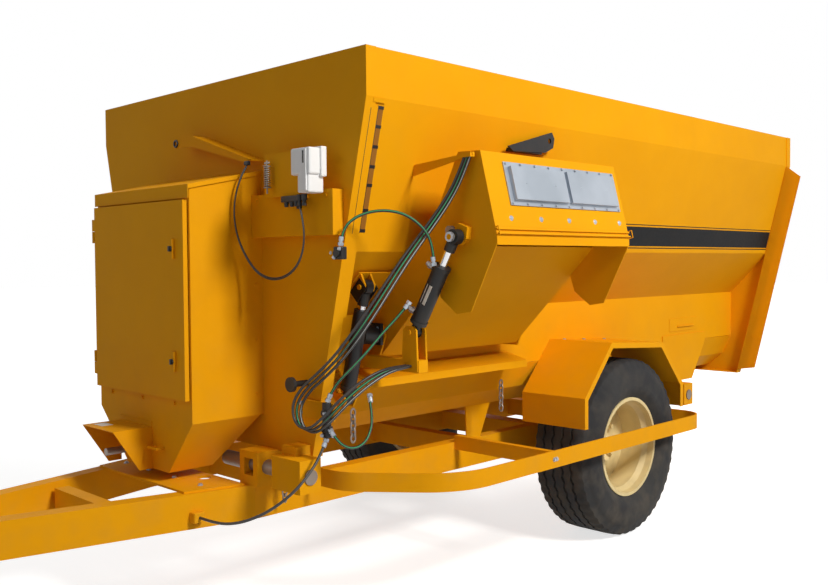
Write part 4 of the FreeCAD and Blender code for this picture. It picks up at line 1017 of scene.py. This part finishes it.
@dataclass
class HoseEnds:
    """The tee and port blocks with their plugs, crimped ferrules and plates, in place of the plain solids."""

    ends: tuple[tuple[Point, Point], ...] = (
        ((1030, -44, 1740), (1040, -40, 1812)), ((922, -36, 1050), (950, -18, 1122)),
        ((938, -36, 928), (992, -36, 876)), ((914, -36, 884), (918, -76, 812)),
        ((1284, 274, 1650), (1284, 262, 1722)), ((1142, 268, 1490), (1104, 226, 1420)),
        ((962, 182, 1064), (1002, 158, 990)))
    ferrule_radius: float = 11.0
    ferrule_length: float = 40.0
    block_screws: tuple[Point, ...] = ((1010, -63, 1690), (1046, -63, 1726), (908, -55, 900), (926, -55, 1000))
    plate_screws: tuple[Point, ...] = ((716, -20, 980), (716, -20, 1022), (944, -20, 1710))

    def crimp(self, bm: Bmesh, foot: Point, aim: Point) -> None:
        """A ferrule from a point towards another: a nut, a waist and the crimped shell with two rings.

        Args:
            bm: the mesh that takes it.
            foot: where it starts, in millimetres.
            aim: the point that it points to.
        """
        start, ahead = at(*foot), (at(*aim) - at(*foot)).normalized()
        shell = (self.ferrule_length - 20) / 1000
        for middle, wide, depth, sides in (
                (0.007, 1.2, 0.014, 6), (0.018, 0.75, 0.010, 16), (0.020 + shell / 2, 0.95, shell, 20),
                (0.020 + shell * 0.3, 1.04, 0.004, 20), (0.020 + shell * 0.7, 1.04, 0.004, 20)):
            add_round(bm, start + ahead * middle, facing(ahead), self.ferrule_radius * wide / 1000, depth, sides)

    def ferrules(self) -> None:
        """Every bright ferrule, plug and screw."""
        bm = bmesh.new()
        for foot, aim in self.ends:
            self.crimp(bm, foot, aim)
        add_bolts(bm, self.block_screws, FORWARD, radius=0.007, height=0.006)
        add_bolts(bm, self.plate_screws, FORWARD, radius=0.008, height=0.006)
        piece = slot_piece("hose_end_ferrules", bm, Slot.ZINC)
        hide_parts("hose_fittings")

    def blocks(self) -> None:
        """The black tee and port blocks and the cable's plugs."""
        bm = bmesh.new()
        add_box(bm, at(900, -50, 888), at(934, -22, 1046), 0.004)
        for z in (928, 1000):
            add_round(bm, at(917, -52, z), Axis.Y, 0.015, 0.012, 20)
        add_boxes(bm, ((934, -46, 914), (948, -26, 942), 0.003), ((1000, -60, 1680), (1056, -28, 1736), 0.005))
        add_round(bm, at(1028, -66, 1708), Axis.Y, 0.017, 0.012, 24)
        for z, radius, top, depth in ((1955, 0.013, 0.013, 0.026), (1930, 0.012, 0.008, 0.024)):
            add_round(bm, at(838, -112, z), Axis.Z, radius, depth, 20, top)
            add_round(bm, at(870, -112, z), Axis.Z, radius, depth, 20, top)
        add_box(bm, at(420, -114, 2128), at(452, -96, 2148), 0.004)
        slot_piece("hose_end_blocks", bm, Slot.BLACK)

    def plates(self) -> None:
        """The yellow stand-off plates behind both blocks and the clamp on the drawbar."""
        bm = bmesh.new()
        add_boxes(bm, ((700, -20, 960), (946, -12, 1040), 0.001), ((700, -12, 960), (760, 0, 1040), 0.001),
                      ((930, -26, 1690), (1050, -20, 1730), 0.001), ((930, -20, 1690), (960, 0, 1730), 0.001),
                      ((424, -438, 497), (470, -382, 543), 0.004))
        slot_piece("hose_end_plates", bm, Slot.YELLOW)

    def build(self) -> None:
        """All hose ends."""
        self.ferrules()
        self.blocks()
        self.plates()


@dataclass
class DisplayBox:
    """The scale display's moulded housing and its connector block, in place of the plain solid."""

    def build(self) -> None:
        """The stepped housing, its seam and the connectors under it."""
        bm = bmesh.new()
        add_boxes(bm, ((830, -98, 2040), (972, -66, 2171), 0.005), ((836, -160, 2048), (966, -98, 2164), 0.008),
                      ((880, -158, 1970), (956, -72, 2052), 0.007), ((905, -165, 1978), (948, -156, 2156), 0.003))
        housing = slot_piece("display_housing", bm, Slot.GREY)
        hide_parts("indicator_box")
        bm = bmesh.new()
        add_boxes(bm, ((924, -165.6, 2096), (934, -164, 2150), 0.0003),
                      ((708, -118, 1938), (836, -98.5, 1966), 0.004))
        for x in (738, 776, 808):
            add_round(bm, at(x, -108, 1928), Axis.Z, 0.009, 0.022, 18, 0.012)
        slot_piece("display_connectors", bm, Slot.BLACK)


@dataclass
class CabinetTrim:
    """Bolts, latches, grommets, the spring, the handle and the blank plate round the front cabinet."""

    left: float = 401.0
    front: float = -399.0
    door_front: float = -426.0

    def bolts(self) -> None:
        """The bolts along the cabinet's foot, down its left flange and beside the display."""
        bm = bmesh.new()
        add_bolts(bm, ((x, self.front, 1015) for x in (-349, -45, 251)), FORWARD, radius=0.009, height=0.006)
        add_bolts(bm, ((self.left, -36, z) for z in (1040, 1300, 1560, 1820)), LEFTWARD, radius=0.008, height=0.006)
        add_bolts(bm, ((x, -60, 1962) for x in (450, 640, 830, 960)), FORWARD, radius=0.007, height=0.005)
        slot_piece("cabinet_bolts", bm, Slot.YELLOW)

    def latches(self) -> None:
        """Quarter-turn latch heads on the door."""
        bm = bmesh.new()
        for z in (1217, 1735):
            add_round(bm, at(303, self.door_front - 17, z), Axis.Y, 0.013, 0.008, 24)
            add_box(bm, at(299, self.door_front - 27, z - 12), at(307, self.door_front - 19, z + 12), 0.001)
        slot_piece("door_latches", bm, Slot.BLACK, "door_body")

    def spring(self) -> None:
        """The coil spring, its rod and wing nut beside the display."""
        bm = bmesh.new()
        turns, steps, pitch = 9, 20, 0.0100
        foot = at(628, -132, 2012)
        bmesh.ops.spin(bm, geom=wire_circle(bm, foot, ring=0.013, wire=0.0026), cent=foot, axis=UP,
                       angle=2 * math.pi * turns, dvec=(0, 0, pitch / steps), steps=turns * steps)
        open_ends = [edge for edge in bm.edges if edge.is_boundary]
        bmesh.ops.holes_fill(bm, edges=open_ends, sides=8)
        add_round(bm, foot + Vector((0, 0, 0.045)), Axis.Z, 0.004, 0.15, 16)
        for z in (-0.003, 0.095):
            add_round(bm, foot + Vector((0, 0, z)), Axis.Z, 0.018, 0.003, 24)
        add_box(bm, foot + Vector((-0.018, -0.003, 0.104)), foot + Vector((0.018, 0.003, 0.114)), 0.002)
        slot_piece("display_spring", bm, Slot.STEEL, smooth=True)

    def plugs(self) -> None:
        """The wall's grommet, the plug under the display and the ring in the bent arm."""
        bm = bmesh.new()
        add_round(bm, at(723, -2, 1865), Axis.Y, 0.026, 0.012, 28)
        add_round(bm, at(776, -66, 1935), Axis.Z, 0.012, 0.05, 18)
        add_ring(bm, at(-205, -98, 2290), Matrix.Rotation(math.pi / 2, 4, "X"), 0.016, 0.005)
        slot_piece("grommets", bm, Slot.BLACK, smooth=True)

    def handle(self) -> None:
        """The bent round handle beside the shaft guard."""
        bm = bmesh.new()
        for x in (70, 150):
            add_round(bm, at(x, -418, 790), Axis.Y, 0.006, 0.040, 14)
        add_round(bm, at(110, -438, 790), Axis.X, 0.006, 0.086, 14)
        slot_piece("shroud_handle", bm, Slot.YELLOW, smooth=True)

    def plate(self) -> None:
        """The blank plate on the shaft guard's top."""
        bm = bmesh.new()
        add_box(bm, at(-236, -560, 880), at(-150, -500, 881), 0.0003)
        make_piece("guard_plate", bm, BLANK_LABEL, CHASSIS)

    def build(self) -> None:
        """All trim round the cabinet."""
        self.bolts()
        self.latches()
        self.spring()
        self.plugs()
        self.handle()
        self.plate()


@dataclass
class Chains:
    """Short hanging chains under the sill, at the frame and by the weigh bar."""

    wire: float = 0.0042
    ring: float = 0.0125
    places: tuple[tuple[Point, int], ...] = (((1043, 8, 1008), 5), ((758, 1380, 979), 6), ((560, -2, 689), 6))

    def build(self) -> None:
        """Every chain, link by link, each turned a quarter from the last."""
        bm = bmesh.new()
        pitch = self.ring * 1.45 * 2 - self.wire * 2
        for place, count in self.places:
            for index in range(count):
                turn = Matrix.Rotation(math.pi / 2 * (index % 2), 4, "Z") @ Matrix.Rotation(math.pi / 2, 4, "Y")
                add_ring(bm, at(*place) - Vector((0, 0, pitch * index)), turn, self.ring, self.wire, 1.45, 14)
        slot_piece("hanging_chains", bm, Slot.STEEL, smooth=True)


@dataclass
class FrameTrim:
    """Bolts on the rub rail, the fender, the drawbar plate and the conveyor's motor."""

    fender_fall: float = 35 / 580
    motor: tuple[float, float] = (813, 1323)
    motor_circle: float = 40

    def build(self) -> None:
        """All bolts along the frame."""
        bm = bmesh.new()
        fender = ((760, y, 1188 - (y - 1940) * self.fender_fall) for y in (1990, 2200, 2430))
        add_bolts(bm, ((1198, y, 623) for y in (1280, 1300)), LEFTWARD, radius=0.009, height=0.006)
        add_bolts(bm, fender, UP, radius=0.009, height=0.006)
        add_bolts(bm, ((x, -330, 634) for x in (-350, -120, 120, 350)), UP, radius=0.010, height=0.007)
        slot_piece("frame_bolts", bm, Slot.ZINC)
        bm = bmesh.new()
        (x, z), circle = self.motor, self.motor_circle
        angles = [math.pi / 4 + index * math.pi / 2 for index in range(4)]
        add_bolts(bm, ((x + circle * math.cos(angle), 346, z + circle * math.sin(angle)) for angle in angles), FORWARD,
                  radius=0.008, height=0.006)
        slot_piece("motor_bolts", bm, Slot.ZINC, CONVEYOR)


def main() -> None:
    """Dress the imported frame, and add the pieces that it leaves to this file."""
    logging.basicConfig(level=logging.INFO, format="%(message)s")
    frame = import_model()
    for part in (Stage(), Castings(frame), Hoses(), Wheels(), SideTrim(), SpoutTrim(), LIFT_CYLINDER, GATE_CYLINDER,
                 GateLug(), HoseEnds(), DisplayBox(), CabinetTrim(), Chains(), FrameTrim()):
        part.build()


if __name__ == "__main__":
    main()
